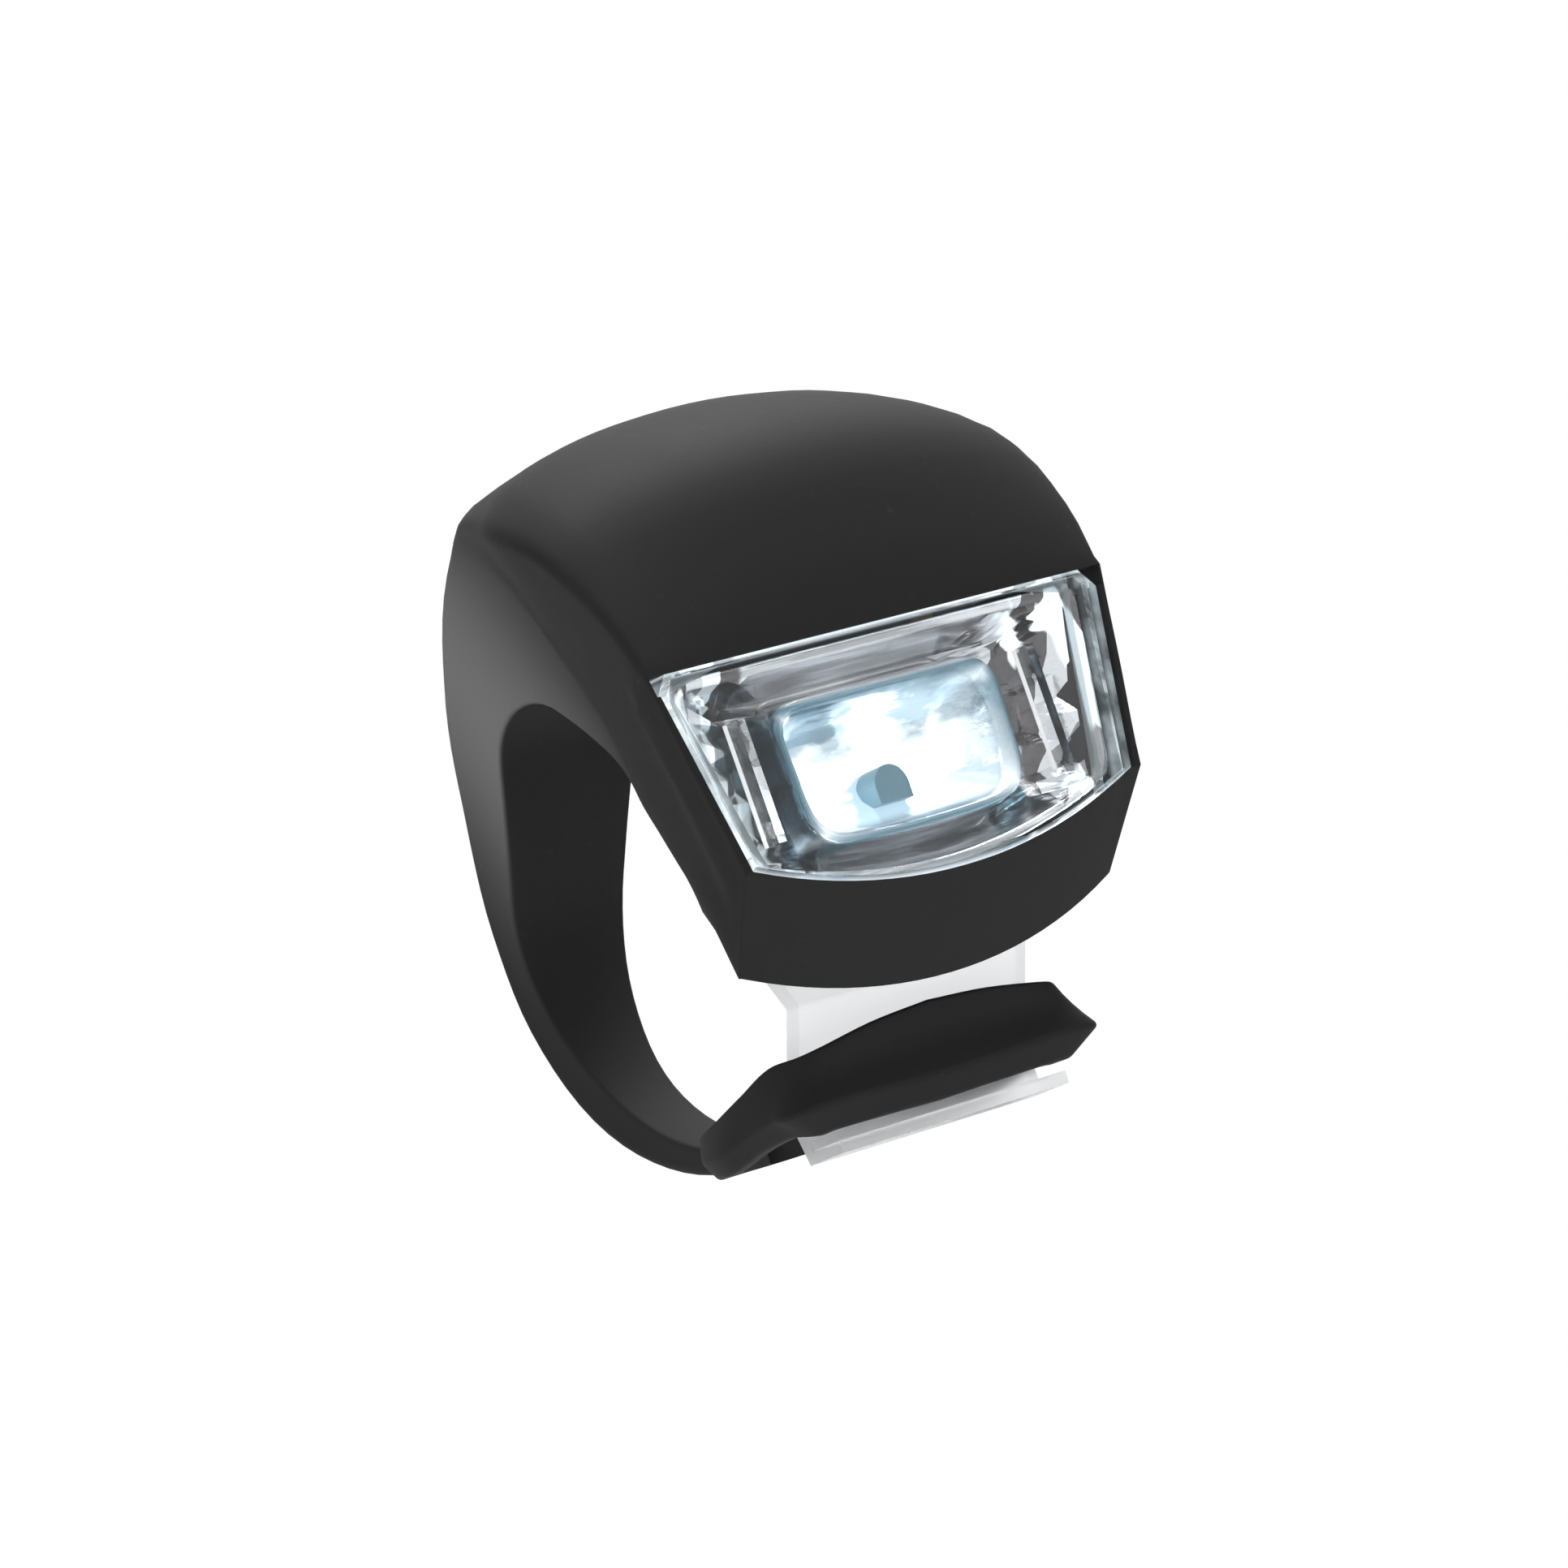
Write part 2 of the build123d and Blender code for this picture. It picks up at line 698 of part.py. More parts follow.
# small resistors and capacitors beside the switch
for name, places, size, height in (
    ("chip_resistors", ((5.0, -3.6), (5.0, -1.6), (5.0, 0.4), (5.0, 2.4)), (2.0, 1.2), 0.5),
    ("chip_capacitors", ((7.6, -1.4), (7.6, 0.8), (-5.4, -4.6)), (1.6, 1.5), 0.8),
):
    with BuildPart() as chips:
        for x, y in places:
            with BuildSketch(tilted(x, y, board_top + fit)):
                Rectangle(*size)
            extrude(amount=height)
    chips.part.label = name
    export_step(chips.part, "parts/" + name + ".step")

# tactile switch, its plunger and the button over it
with BuildPart() as tact_switch:
    with BuildSketch(tilted(h=board_top + fit)):
        RectangleRounded(switch_width, switch_width, 0.4)
    extrude(amount=switch_height)
    with BuildSketch(tilted(h=board_top + 0.25)):
        Circle(plunger_radius + 0.1)
    extrude(amount=2, mode=Mode.SUBTRACT)
tact_switch.part.label = "tact_switch"
export_step(tact_switch.part, "parts/tact_switch.step")

with BuildPart() as switch_plunger:
    with BuildSketch(tilted(h=plunger_bottom)):
        Circle(plunger_radius)
    extrude(amount=button_bottom - fit - plunger_bottom)
    chamfer(switch_plunger.faces().sort_by(Axis.Z)[-1].edges(), plunger_chamfer)
switch_plunger.part.label = "switch_plunger"
export_step(switch_plunger.part, "parts/switch_plunger.step")

with BuildPart() as push_button:
    with BuildSketch(tilted(h=button_bottom)):
        Circle(button_flange_radius)
    extrude(amount=button_flange)
    with BuildSketch(tilted(h=button_bottom)):
        Circle(button_radius)
    extrude(amount=button_height)
    fillet(push_button.faces().sort_by(Axis.Z)[-1].edges(), button_fillet)
push_button.part.label = "push_button"
export_step(push_button.part, "parts/push_button.step")

# screws of the cover, driven forwards into the housing's posts
with BuildPart() as cover_screws:
    for x in screw_places:
        with BuildSketch(front_plane(cover_screw_head)):
            with Locations((x, screw_z)):
                Circle(screw_head_radius)
        extrude(amount=screw_head_height)
        with BuildSketch(front_plane(cover_screw_head)):
            with Locations((x, screw_z)):
                Circle(screw_radius - screw_fit)
        extrude(amount=cover_screw_length)
        with BuildSketch(front_plane(cover_screw_head)):
            with Locations((x, screw_z)):
                Rectangle(drive_length, drive_width)
                Rectangle(drive_width, drive_length)
        extrude(amount=drive_depth, mode=Mode.SUBTRACT)
cover_screws.part.label = "cover_screws"
export_step(cover_screws.part, "parts/cover_screws.step")

# screws of the main board, driven down into the tray's posts
with BuildPart() as board_screws:
    for x in (-board_screw_place[0], board_screw_place[0]):
        head = board_top + fit
        with BuildSketch(tilted(x, board_screw_place[1], head)):
            Circle(screw_head_radius)
        extrude(amount=screw_head_height)
        with BuildSketch(tilted(x, board_screw_place[1], head)):
            Circle(screw_radius - screw_fit)
        extrude(amount=0.3 - board_screw_length)
        with BuildSketch(tilted(x, board_screw_place[1], head + screw_head_height)):
            Rectangle(drive_length, drive_width)
            Rectangle(drive_width, drive_length)
        extrude(amount=-drive_depth, mode=Mode.SUBTRACT)
board_screws.part.label = "board_screws"
export_step(board_screws.part, "parts/board_screws.step")
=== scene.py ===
import math
import bmesh
import bpy
from mathutils import Matrix, Vector


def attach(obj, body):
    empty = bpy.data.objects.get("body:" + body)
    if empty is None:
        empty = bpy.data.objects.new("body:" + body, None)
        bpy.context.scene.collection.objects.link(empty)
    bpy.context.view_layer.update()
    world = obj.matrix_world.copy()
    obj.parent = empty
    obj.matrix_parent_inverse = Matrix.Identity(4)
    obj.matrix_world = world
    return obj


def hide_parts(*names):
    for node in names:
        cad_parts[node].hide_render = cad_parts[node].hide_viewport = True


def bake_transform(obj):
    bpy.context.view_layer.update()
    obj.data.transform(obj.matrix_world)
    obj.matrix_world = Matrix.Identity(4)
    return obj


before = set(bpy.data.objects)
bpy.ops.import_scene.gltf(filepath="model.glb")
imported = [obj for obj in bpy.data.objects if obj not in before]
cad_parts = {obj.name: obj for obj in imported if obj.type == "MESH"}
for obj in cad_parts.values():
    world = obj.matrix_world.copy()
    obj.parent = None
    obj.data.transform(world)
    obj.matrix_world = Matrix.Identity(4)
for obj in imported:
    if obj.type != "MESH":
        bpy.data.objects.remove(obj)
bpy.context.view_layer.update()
print("frame loaded,", len(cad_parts), "CAD nodes")

# the origin is on the bar's axis, the bar runs along X, the beam points along -Y and +Z is up
mm = 0.001
# points closer than this, in metres, become one
weld = 0.00001


# helpers shared by the silicone and the reflector


def smoothTable(rows, at):
    # values between the rows of a table, whose first column is the place, on a smooth curve
    last = len(rows) - 1
    i = 0
    while i < last - 1 and at > rows[i + 1][0]:
        i += 1
    before, low, high, after = rows[max(i - 1, 0)], rows[i], rows[i + 1], rows[min(i + 2, last)]
    step = high[0] - low[0]
    t = min(max((at - low[0]) / step, 0.0), 1.0)
    values = []
    for k in range(1, len(low)):
        slopeLow = (high[k] - before[k]) / (high[0] - before[0]) * step
        slopeHigh = (after[k] - low[k]) / (after[0] - low[0]) * step
        values.append(
            (2 * t**3 - 3 * t**2 + 1) * low[k]
            + (t**3 - 2 * t**2 + t) * slopeLow
            + (3 * t**2 - 2 * t**3) * high[k]
            + (t**3 - t**2) * slopeHigh
        )
    return values


def roundCorner(before, corner, after, radius, steps):
    # points of a soft corner between two straight runs
    before, corner, after = Vector(before), Vector(corner), Vector(after)
    toBefore, toAfter = before - corner, after - corner
    # two corners on one run leave a little of it between them
    most = 0.48
    cut = min(radius, most * toBefore.length, most * toAfter.length)
    start = corner + toBefore.normalized() * cut
    end = corner + toAfter.normalized() * cut
    points = []
    for i in range(steps + 1):
        t = i / steps
        points.append(start * (1 - t) ** 2 + corner * 2 * t * (1 - t) + end * t**2)
    return points


def run(start, end, steps):
    # evenly spaced points between two places, without the ends
    start, end = Vector(start), Vector(end)
    return [start.lerp(end, i / (steps + 1)) for i in range(1, steps + 1)]


def addChain(bm, points, closed=False):
    # a row of points joined by edges
    verts = [bm.verts.new(Vector(p) * mm) for p in points]
    pairs = list(zip(verts, verts[1:])) + ([(verts[-1], verts[0])] if closed else [])
    return [bm.edges.new(pair) for pair in pairs]


def bridgeChains(bm, chains, closed=False):
    # skin over a row of chains
    rows = [addChain(bm, chain, closed) for chain in chains]
    for low, high in zip(rows, rows[1:]):
        bmesh.ops.bridge_loops(bm, edges=low + high)


def makePiece(name, bm, material):
    # a finished object at the origin, from a mesh in metres
    mesh = bpy.data.meshes.new(name)
    bm.to_mesh(mesh)
    piece = bpy.data.objects.new(name, mesh)
    bpy.context.collection.objects.link(piece)
    mesh.materials.append(material)
    return piece


# material effects shared by the finishes


def newGroup(name, inputs, outputs):
    # an empty node group with its sockets
    group = bpy.data.node_groups.new(name, "ShaderNodeTree")
    for label, kind, value in inputs:
        socket = group.interface.new_socket(label, in_out="INPUT", socket_type=kind)
        socket.default_value = value
    for label, kind in outputs:
        group.interface.new_socket(label, in_out="OUTPUT", socket_type=kind)
    inside = group.nodes.new("NodeGroupInput")
    outside = group.nodes.new("NodeGroupOutput")
    return group, inside, outside


def addNoise(tree, coords, scale, detail, roughness=0.5):
    # cloudy values round 0.5
    noise = tree.nodes.new("ShaderNodeTexNoise")
    noise.inputs["Scale"].default_value = scale
    noise.inputs["Detail"].default_value = detail
    noise.inputs["Roughness"].default_value = roughness
    tree.links.new(coords, noise.inputs["Vector"])
    return noise.outputs["Fac"]


def addRange(tree, value, low, high, toLow, toHigh):
    # brings low to toLow and high to toHigh, and stays between them; each is a number or a socket
    ranges = tree.nodes.new("ShaderNodeMapRange")
    tree.links.new(value, ranges.inputs["Value"])
    for label, amount in (("From Min", low), ("From Max", high), ("To Min", toLow), ("To Max", toHigh)):
        if isinstance(amount, float):
            ranges.inputs[label].default_value = amount
        else:
            tree.links.new(amount, ranges.inputs[label])
    return ranges.outputs["Result"]


def addMath(tree, operation, first, second):
    # first and second are numbers or sockets
    node = tree.nodes.new("ShaderNodeMath")
    node.operation = operation
    for socket, amount in zip(node.inputs, (first, second)):
        if isinstance(amount, float):
            socket.default_value = amount
        else:
            tree.links.new(amount, socket)
    return node.outputs[0]


def addMix(tree, mask, first, second):
    # from the first colour, where the mask is 0, to the second, where it is 1
    mix = tree.nodes.new("ShaderNodeMix")
    mix.data_type = "RGBA"
    tree.links.new(mask, mix.inputs[0])
    for socket, amount in ((mix.inputs[6], first), (mix.inputs[7], second)):
        if isinstance(amount, tuple):
            socket.default_value = amount
        else:
            tree.links.new(amount, socket)
    return mix.outputs[2]


def splitPlace(tree, coords):
    # distance from the middle plane, and height
    parts = tree.nodes.new("ShaderNodeSeparateXYZ")
    tree.links.new(coords, parts.inputs["Vector"])
    return addMath(tree, "ABSOLUTE", parts.outputs["X"], 0.0), parts.outputs["Z"]


grainLook = {
    "fineDetail": 4.0,
    "fineShare": 0.06,
    "smudgeScale": 90.0,
    "smudgeDetail": 5.0,
    "smudgeRoughness": 0.6,
    # dust specks, which lie in patches
    "speckScale": 1400.0,
    "speckDetail": 2.0,
    "speckRange": (0.66, 0.74),
    "patchScale": 60.0,
    "patchDetail": 3.0,
    "patchRange": (0.45, 0.7),
}


def buildSurfaceGrain():
    # fine moulded grain, a few soft smudges and dust specks
    group, inside, outside = newGroup(
        "surfaceGrain",
        [
            ("Vector", "NodeSocketVector", (0, 0, 0)),
            ("Grain Scale", "NodeSocketFloat", 2500.0),
            ("Base Roughness", "NodeSocketFloat", 0.5),
            ("Roughness Spread", "NodeSocketFloat", 0.1),
            ("Dust", "NodeSocketFloat", 0.1),
        ],
        [("Roughness", "NodeSocketFloat"), ("Height", "NodeSocketFloat"), ("Dust Mask", "NodeSocketFloat")],
    )
    look = grainLook
    coords = inside.outputs["Vector"]
    grain = group.nodes.new("ShaderNodeTexNoise")
    grain.inputs["Detail"].default_value = look["fineDetail"]
    group.links.new(coords, grain.inputs["Vector"])
    group.links.new(inside.outputs["Grain Scale"], grain.inputs["Scale"])
    smudges = addNoise(group, coords, look["smudgeScale"], look["smudgeDetail"], look["smudgeRoughness"])
    spread = addMath(group, "SUBTRACT", smudges, 0.5)
    spread = addMath(group, "MULTIPLY", spread, inside.outputs["Roughness Spread"])
    rough = addMath(group, "ADD", inside.outputs["Base Roughness"], spread)
    fine = addMath(group, "SUBTRACT", grain.outputs["Fac"], 0.5)
    fine = addMath(group, "MULTIPLY", fine, look["fineShare"])
    rough = addMath(group, "ADD", rough, fine)
    group.links.new(rough, outside.inputs["Roughness"])
    group.links.new(grain.outputs["Fac"], outside.inputs["Height"])
    specks = addNoise(group, coords, look["speckScale"], look["speckDetail"])
    specks = addRange(group, specks, *look["speckRange"], 0.0, 1.0)
    where = addNoise(group, coords, look["patchScale"], look["patchDetail"])
    where = addRange(group, where, *look["patchRange"], 0.0, 1.0)
    dust = addMath(group, "MULTIPLY", addMath(group, "MULTIPLY", specks, where), inside.outputs["Dust"])
    group.links.new(dust, outside.inputs["Dust Mask"])
    return group


surfaceGrain = buildSurfaceGrain()


def newMaterial(name, settings):
    # a material whose fixed values stand on the shader's own sockets
    material = bpy.data.materials.new(name)
    material.use_nodes = True
    tree = material.node_tree
    shader = tree.nodes["Principled BSDF"]
    for label, value in settings.items():
        shader.inputs[label].default_value = value
    coords = tree.nodes.new("ShaderNodeTexCoord").outputs["Object"]
    return material, tree, shader, coords


def addGrain(tree, shader, coords, grain):
    # grain, smudges and dust over a plain colour
    node = tree.nodes.new("ShaderNodeGroup")
    node.node_tree = surfaceGrain
    tree.links.new(coords, node.inputs["Vector"])
    node.inputs["Grain Scale"].default_value = grain["scale"]
    node.inputs["Base Roughness"].default_value = grain["roughness"]
    node.inputs["Roughness Spread"].default_value = grain["spread"]
    node.inputs["Dust"].default_value = grain["dust"]
    tree.links.new(node.outputs["Roughness"], shader.inputs["Roughness"])
    bump = tree.nodes.new("ShaderNodeBump")
    bump.inputs["Strength"].default_value = grain["bump"]
    bump.inputs["Distance"].default_value = grain["depth"]
    tree.links.new(node.outputs["Height"], bump.inputs["Height"])
    tree.links.new(bump.outputs["Normal"], shader.inputs["Normal"])
    tint = addMix(tree, node.outputs["Dust Mask"], grain["colour"], grain["dustColour"])
    tree.links.new(tint, shader.inputs["Base Color"])


def grainMaterial(name, colour, grain, settings):
    # a plain finish: one colour under the shared grain
    material, tree, shader, coords = newMaterial(name, settings)
    addGrain(tree, shader, coords, dict(grain, colour=colour))
    return material


# plain finishes

siliconeGrain = {
    "scale": 2600.0, "roughness": 0.6, "spread": 0.16, "dust": 0.12,
    "bump": 0.12, "depth": 0.00006, "dustColour": (0.12, 0.12, 0.12, 1),
}
plasticGrain = {
    "scale": 1800.0, "roughness": 0.42, "spread": 0.12, "dust": 0.1,
    "bump": 0.15, "depth": 0.00005, "dustColour": (0.2, 0.2, 0.2, 1),
}
pale = (0.8, 0.8, 0.8, 1)
plainLooks = {
    # colour; what differs from the plastic's grain; the shader's own settings
    "housingPlastic": ((0.03, 0.03, 0.032, 1), {}, {}),
    "frostedPlastic": (
        (0.95, 0.96, 0.97, 1),
        {"roughness": 0.5, "dust": 0.02, "dustColour": pale},
        {"Transmission Weight": 0.88, "IOR": 1.15},
    ),
    "clearSeal": (
        (0.9, 0.95, 0.97, 1), {"roughness": 0.35, "dust": 0.0}, {"Transmission Weight": 0.8, "IOR": 1.2}
    ),
    "sealRubber": ((0.2, 0.2, 0.21, 1), dict(siliconeGrain, dust=0.02), {}),
    "boardGreen": ((0.02, 0.13, 0.05, 1), {"roughness": 0.3}, {"Coat Weight": 0.4}),
    "boardWhite": ((0.8, 0.8, 0.78, 1), {"roughness": 0.3, "dust": 0.02}, {"Coat Weight": 0.4}),
    "linkFilm": ((0.42, 0.2, 0.04, 1), {"roughness": 0.3}, {}),
    "chipEpoxy": ((0.02, 0.02, 0.02, 1), {"roughness": 0.6}, {}),
    "chipCeramic": ((0.4, 0.28, 0.17, 1), {"roughness": 0.45}, {}),
    "steel": ((0.62, 0.62, 0.61, 1), {"roughness": 0.28, "dust": 0.02}, {"Metallic": 1.0}),
    "springMetal": ((0.72, 0.52, 0.3, 1), {"roughness": 0.3, "dust": 0.02}, {"Metallic": 1.0}),
    "reflectorCoating": (
        (0.86, 0.9, 0.93, 1),
        {"scale": 700.0, "roughness": 0.1, "spread": 0.08, "dust": 0.0, "bump": 0.1, "dustColour": pale},
        {"Metallic": 1.0},
    ),
    "postFilm": ((0.2, 0.38, 0.48, 1), {"roughness": 0.35, "dust": 0.0}, {}),
}
plain = {
    name: grainMaterial(name, colour, dict(plasticGrain, **grain), settings)
    for name, (colour, grain, settings) in plainLooks.items()
}
siliconeMaterial = grainMaterial("silicone", (0.033, 0.033, 0.0335, 1), siliconeGrain, {"IOR": 1.08})


# clear lens, with painted highlights glowing along its bevelled edges

lensLook = {
    "colour": (0.97, 0.985, 0.99, 1),
    # colour and strength of the painted highlight, which glows on the lens's edges though the lens is no
    # lamp
    "glow": (0.8, 0.93, 1.0, 1),
    "strength": 0.5,
    # the outline of the painted highlights, in metres: half-width and slope of its sides, heights, and the
    # arc below
    "bottom": 0.0006,
    "bottomHalf": 0.0162,
    "slope": 0.1985,
    "top": 0.0137,
    "smileRadius": 0.0439,
    "smileCentre": 0.0414,
    "thinHighlightBand": (0.00012, 0.0003),
    "wideHighlightBand": (0.0007, 0.0012),
    "smudgeScale": 350.0,
    "smudgeDetail": 4.0,
    "smudgeHighlightShare": (0.4, 0.65, 0.15, 0.9),
    "smudgeRoughness": (0.45, 0.8, 0.0, 0.04),
}


def buildLens():
    # clear plastic with painted highlights glowing along its edges: the straight top, the sloping sides and
    # the smile below
    look = lensLook
    material, tree, shader, coords = newMaterial(
        "clearLens",
        {
            "Base Color": look["colour"],
            "IOR": 1.5,
            "Transmission Weight": 1.0,
            "Emission Strength": look["strength"],
        },
    )
    acrossX, upZ = splitPlace(tree, coords)
    rise = addMath(tree, "SUBTRACT", upZ, look["bottom"])
    half = addMath(tree, "ADD", addMath(tree, "MULTIPLY", rise, look["slope"]), look["bottomHalf"])
    toSide = addMath(tree, "SUBTRACT", half, acrossX)
    toTop = addMath(tree, "SUBTRACT", look["top"], upZ)
    down = addMath(tree, "SUBTRACT", upZ, look["smileCentre"])
    squareDown = addMath(tree, "MULTIPLY", down, down)
    square = addMath(tree, "ADD", squareDown, addMath(tree, "MULTIPLY", acrossX, acrossX))
    toSmile = addMath(tree, "SUBTRACT", look["smileRadius"], addMath(tree, "SQRT", square, 0.0))
    smudge = addNoise(tree, coords, look["smudgeScale"], look["smudgeDetail"])
    # painted highlights: thin bands along the top and the smile, wide ones along the sides, broken up by
    # the smudges
    thin = addRange(tree, addMath(tree, "MINIMUM", toTop, toSmile), *look["thinHighlightBand"], 1.0, 0.0)
    wide = addRange(tree, toSide, *look["wideHighlightBand"], 1.0, 0.0)
    wide = addMath(tree, "MULTIPLY", wide, addRange(tree, smudge, *look["smudgeHighlightShare"]))
    paintedEdgeHighlight = addMath(tree, "MAXIMUM", thin, wide)
    tree.links.new(addMix(tree, paintedEdgeHighlight, (0, 0, 0, 1), look["glow"]), shader.inputs["Emission Color"])
    tree.links.new(addRange(tree, smudge, *look["smudgeRoughness"]), shader.inputs["Roughness"])
    return material


# diodes

diodeLook = {
    "body": (0.95, 0.95, 0.85, 1),
    "cool": (0.75, 0.92, 1.0, 1),
    "warm": (1.0, 0.98, 0.9, 1),
    "strength": 4.0,
    "grainScale": 2200.0,
    "grainDetail": 2.0,
    "roughness": (0.3, 0.5),
}


def buildDiode():
    # phosphor that glows a little unevenly
    look = diodeLook
    material, tree, shader, coords = newMaterial(
        "diodeGlow", {"Base Color": look["body"], "Emission Strength": look["strength"]}
    )
    phosphor = addNoise(tree, coords, look["grainScale"], look["grainDetail"])
    tree.links.new(addMix(tree, phosphor, look["cool"], look["warm"]), shader.inputs["Emission Color"])
    tree.links.new(addRange(tree, phosphor, 0.0, 1.0, *look["roughness"]), shader.inputs["Roughness"])
    return material


lensMaterial = buildLens()
diodeMaterial = buildDiode()
print("materials built,", len(bpy.data.materials))


# what each node of the CAD model wears

finishes = {
    siliconeMaterial: ("silicone_body", "strap_end"),
    lensMaterial: ("lens_cover",),
    diodeMaterial: ("led_left", "led_right"),
    plain["housingPlastic"]: ("module_housing", "cell_tray", "push_button"),
    plain["frostedPlastic"]: ("battery_cover",),
    plain["sealRubber"]: ("cover_seal",),
    plain["clearSeal"]: ("lens_gasket",),
    plain["reflectorCoating"]: ("reflector",),
    plain["boardWhite"]: ("led_board",),
    plain["boardGreen"]: ("main_board",),
    plain["linkFilm"]: ("board_link",),
    plain["chipEpoxy"]: ("driver_chip", "chip_resistors", "switch_plunger"),
    plain["chipCeramic"]: ("chip_capacitors",),
    plain["steel"]: ("tact_switch", "coin_cell_upper", "coin_cell_lower", "cover_screws", "board_screws"),
    plain["springMetal"]: ("positive_contact", "negative_contact"),
}
for material, nodes in finishes.items():
    for node in nodes:
        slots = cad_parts[node].data.materials
        slots.clear()
        slots.append(material)


# silicone: one skin from the lip over the head and down the tail to the crossbar

skin = {
    # angle round the bar; half-width at the bar; half-width and radius of the belt and
    # of the shoulder; radius of the crown; all in millimetres
    "stations": [
        (-75, 2.2, 2.2, 14.8, 1.8, 15.2, 15.4),
        (-55, 2.3, 2.3, 15.4, 1.9, 15.9, 16.1),
        (-30, 2.7, 2.7, 16.1, 2.2, 16.7, 17.0),
        (-5, 3.7, 3.7, 15.9, 3.2, 16.4, 16.7),
        (20, 4.7, 4.7, 16.0, 4.2, 16.5, 16.8),
        (45, 5.3, 5.3, 18.4, 4.8, 19.0, 19.4),
        (65, 5.8, 6.1, 22.9, 5.7, 23.6, 24.1),
        (80, 6.0, 6.9, 26.8, 6.9, 27.8, 28.6),
        (90, 6.2, 7.0, 26.2, 8.6, 29.8, 31.2),
        (98, 6.5, 7.1, 22.5, 11.0, 29.5, 32.0),
        (107, 6.9, 7.4, 18.4, 14.0, 29.4, 33.3),
        (120, 7.6, 8.3, 15.8, 18.2, 30.5, 35.8),
        (133, 8.6, 9.6, 14.6, 20.1, 31.6, 35.8),
        (144, 9.2, 10.9, 14.5, 19.9, 31.0, 32.5),
        (153, 9.5, 11.7, 14.8, 19.4, 29.9, 30.1),
        (165, 9.7, 12.8, 15.9, 18.95, 29.2, 29.3),
        (178, 9.8, 14.1, 18.2, 17.8, 29.0, 29.1),
        (191, 9.8, 15.5, 20.9, 17.0, 30.0, 30.1),
        (204, 9.9, 16.4, 25.0, 16.6, 33.0, 33.1),
    ],
    # the loop, whose inside opens into a soft arch under the head; the half-width at the bar
    # in the table is meant at the radius barHalfAt
    "barRadius": 13.5,
    "barHalfAt": 12.6,
    "beltClear": 0.3,
    "archFrom": 30.0,
    "archTo": 130.0,
    "archFillet": 5.4,
    "frontAngle": 168.0,
    # the lens and the skin round it
    "lensFace": -26.5,
    "lensTop": 13.7,
    "lensCorner": 1.3,
    "lensTopHalf": 18.85,
    "lensBottomHalf": 16.25,
    "lensBottom": 0.6,
    "smile": 3.1,
    "rim": 0.3,
    "recess": 1.0,
    "recessTaper": 0.965,
    "faceSlack": 0.01,
    # the lip: its lower edge, and the way back from there to the bar
    "lipCorner": (15.9, -21.4, -4.95),
    "lipMiddle": (-21.9, -8.3),
    "lipInset": 0.4,
    "lipEnd": 193.3,
    "floorEnd": 196.8,
    "beltIn": 0.1,
    "underside": ((-21.9, -8.3), (-19.0, -6.9), (-15.46, -4.67)),
    # corners and the crown
    "barEdge": 0.35,
    "beltEdge": 1.4,
    "shoulderEdge": 1.2,
    "frontEdge": 0.3,
    "crownFullness": 0.8,
    "crownFrom": 1.8,
    "crownFromShare": 0.4,
    "sharpAngle": 42,
    # how finely it is drawn
    "cornerSteps": 5,
    "topSteps": 12,
    "sideSteps": (3, 3, 8),
    "searchSteps": 24,
    "lensSteps": 8,
    "strapAngles": range(-75, 31, 5),
    "headAngles": (*range(30, 151, 3), 151.5),
    "lipShares": (0.04, 0.25, 0.5, 0.75, 0.95, 1.0),
    # where the tail begins: below this angle behind the bar, and below this height
    "tailAngle": 30,
    "tailHeight": -8.8,
}
cheek = {
    # the swelling beside the lens: where it begins, its length and how far it covers the lens
    "from": -22.0,
    "length": 2.2,
    "cover": 0.14,
    # its share on the two rings before the lens and on the first ring of the lip
    "early": 0.3,
    "late": 0.8,
    "lip": 0.9,
}


# silicone: the loop and the flank

# under the head the loop's inside rises to a peak with a round top
archPeak = skin["barRadius"] / math.cos(math.radians((skin["archTo"] - skin["archFrom"]) / 2))
archMiddle = (skin["archTo"] + skin["archFrom"]) / 2
archCentre = archPeak - skin["archFillet"] * archPeak / skin["barRadius"]
archHalf = math.radians((skin["archTo"] - skin["archFrom"]) / 2)
archTurn = math.atan2(
    skin["archFillet"] * math.sin(archHalf), archCentre + skin["archFillet"] * math.cos(archHalf)
)


def floorRadius(angle):
    # distance from the bar's axis to the inside of the loop
    radius = skin["barRadius"]
    if angle > skin["frontAngle"]:
        return radius / math.cos(math.radians(angle - skin["frontAngle"]))
    if not skin["archFrom"] < angle < skin["archTo"]:
        return radius
    off = skin["archTo"] - angle if angle > archMiddle else angle - skin["archFrom"]
    wall = radius / math.cos(math.radians(off))
    turn = math.radians(angle - archMiddle)
    if abs(turn) < archTurn:
        inside = skin["archFillet"] ** 2 - (archCentre * math.sin(turn)) ** 2
        wall = archCentre * math.cos(turn) + math.sqrt(inside)
    return wall


def onFan(x, radius, angle):
    # a place on the fan plane at this angle round the bar
    a = math.radians(angle)
    return (x, radius * math.cos(a), radius * math.sin(a))


def faceAngle(z):
    # angle of the fan plane that meets the lens's plane at this height
    return 180 - math.degrees(math.atan2(z, -skin["lensFace"]))


def flankCorners(angle):
    # corners of the half section on one fan plane: bar, belt and shoulder
    barHalf, beltHalf, belt, shoulderHalf, shoulder, crown = smoothTable(skin["stations"], angle)
    floor = floorRadius(angle)
    if belt > floor:
        share = (floor - skin["barHalfAt"]) / (belt - skin["barHalfAt"])
        barHalf += (beltHalf - barHalf) * max(0.0, share)
    belt = max(belt, floor + skin["beltClear"])
    return floor, barHalf, (beltHalf, belt), (shoulderHalf, shoulder), crown


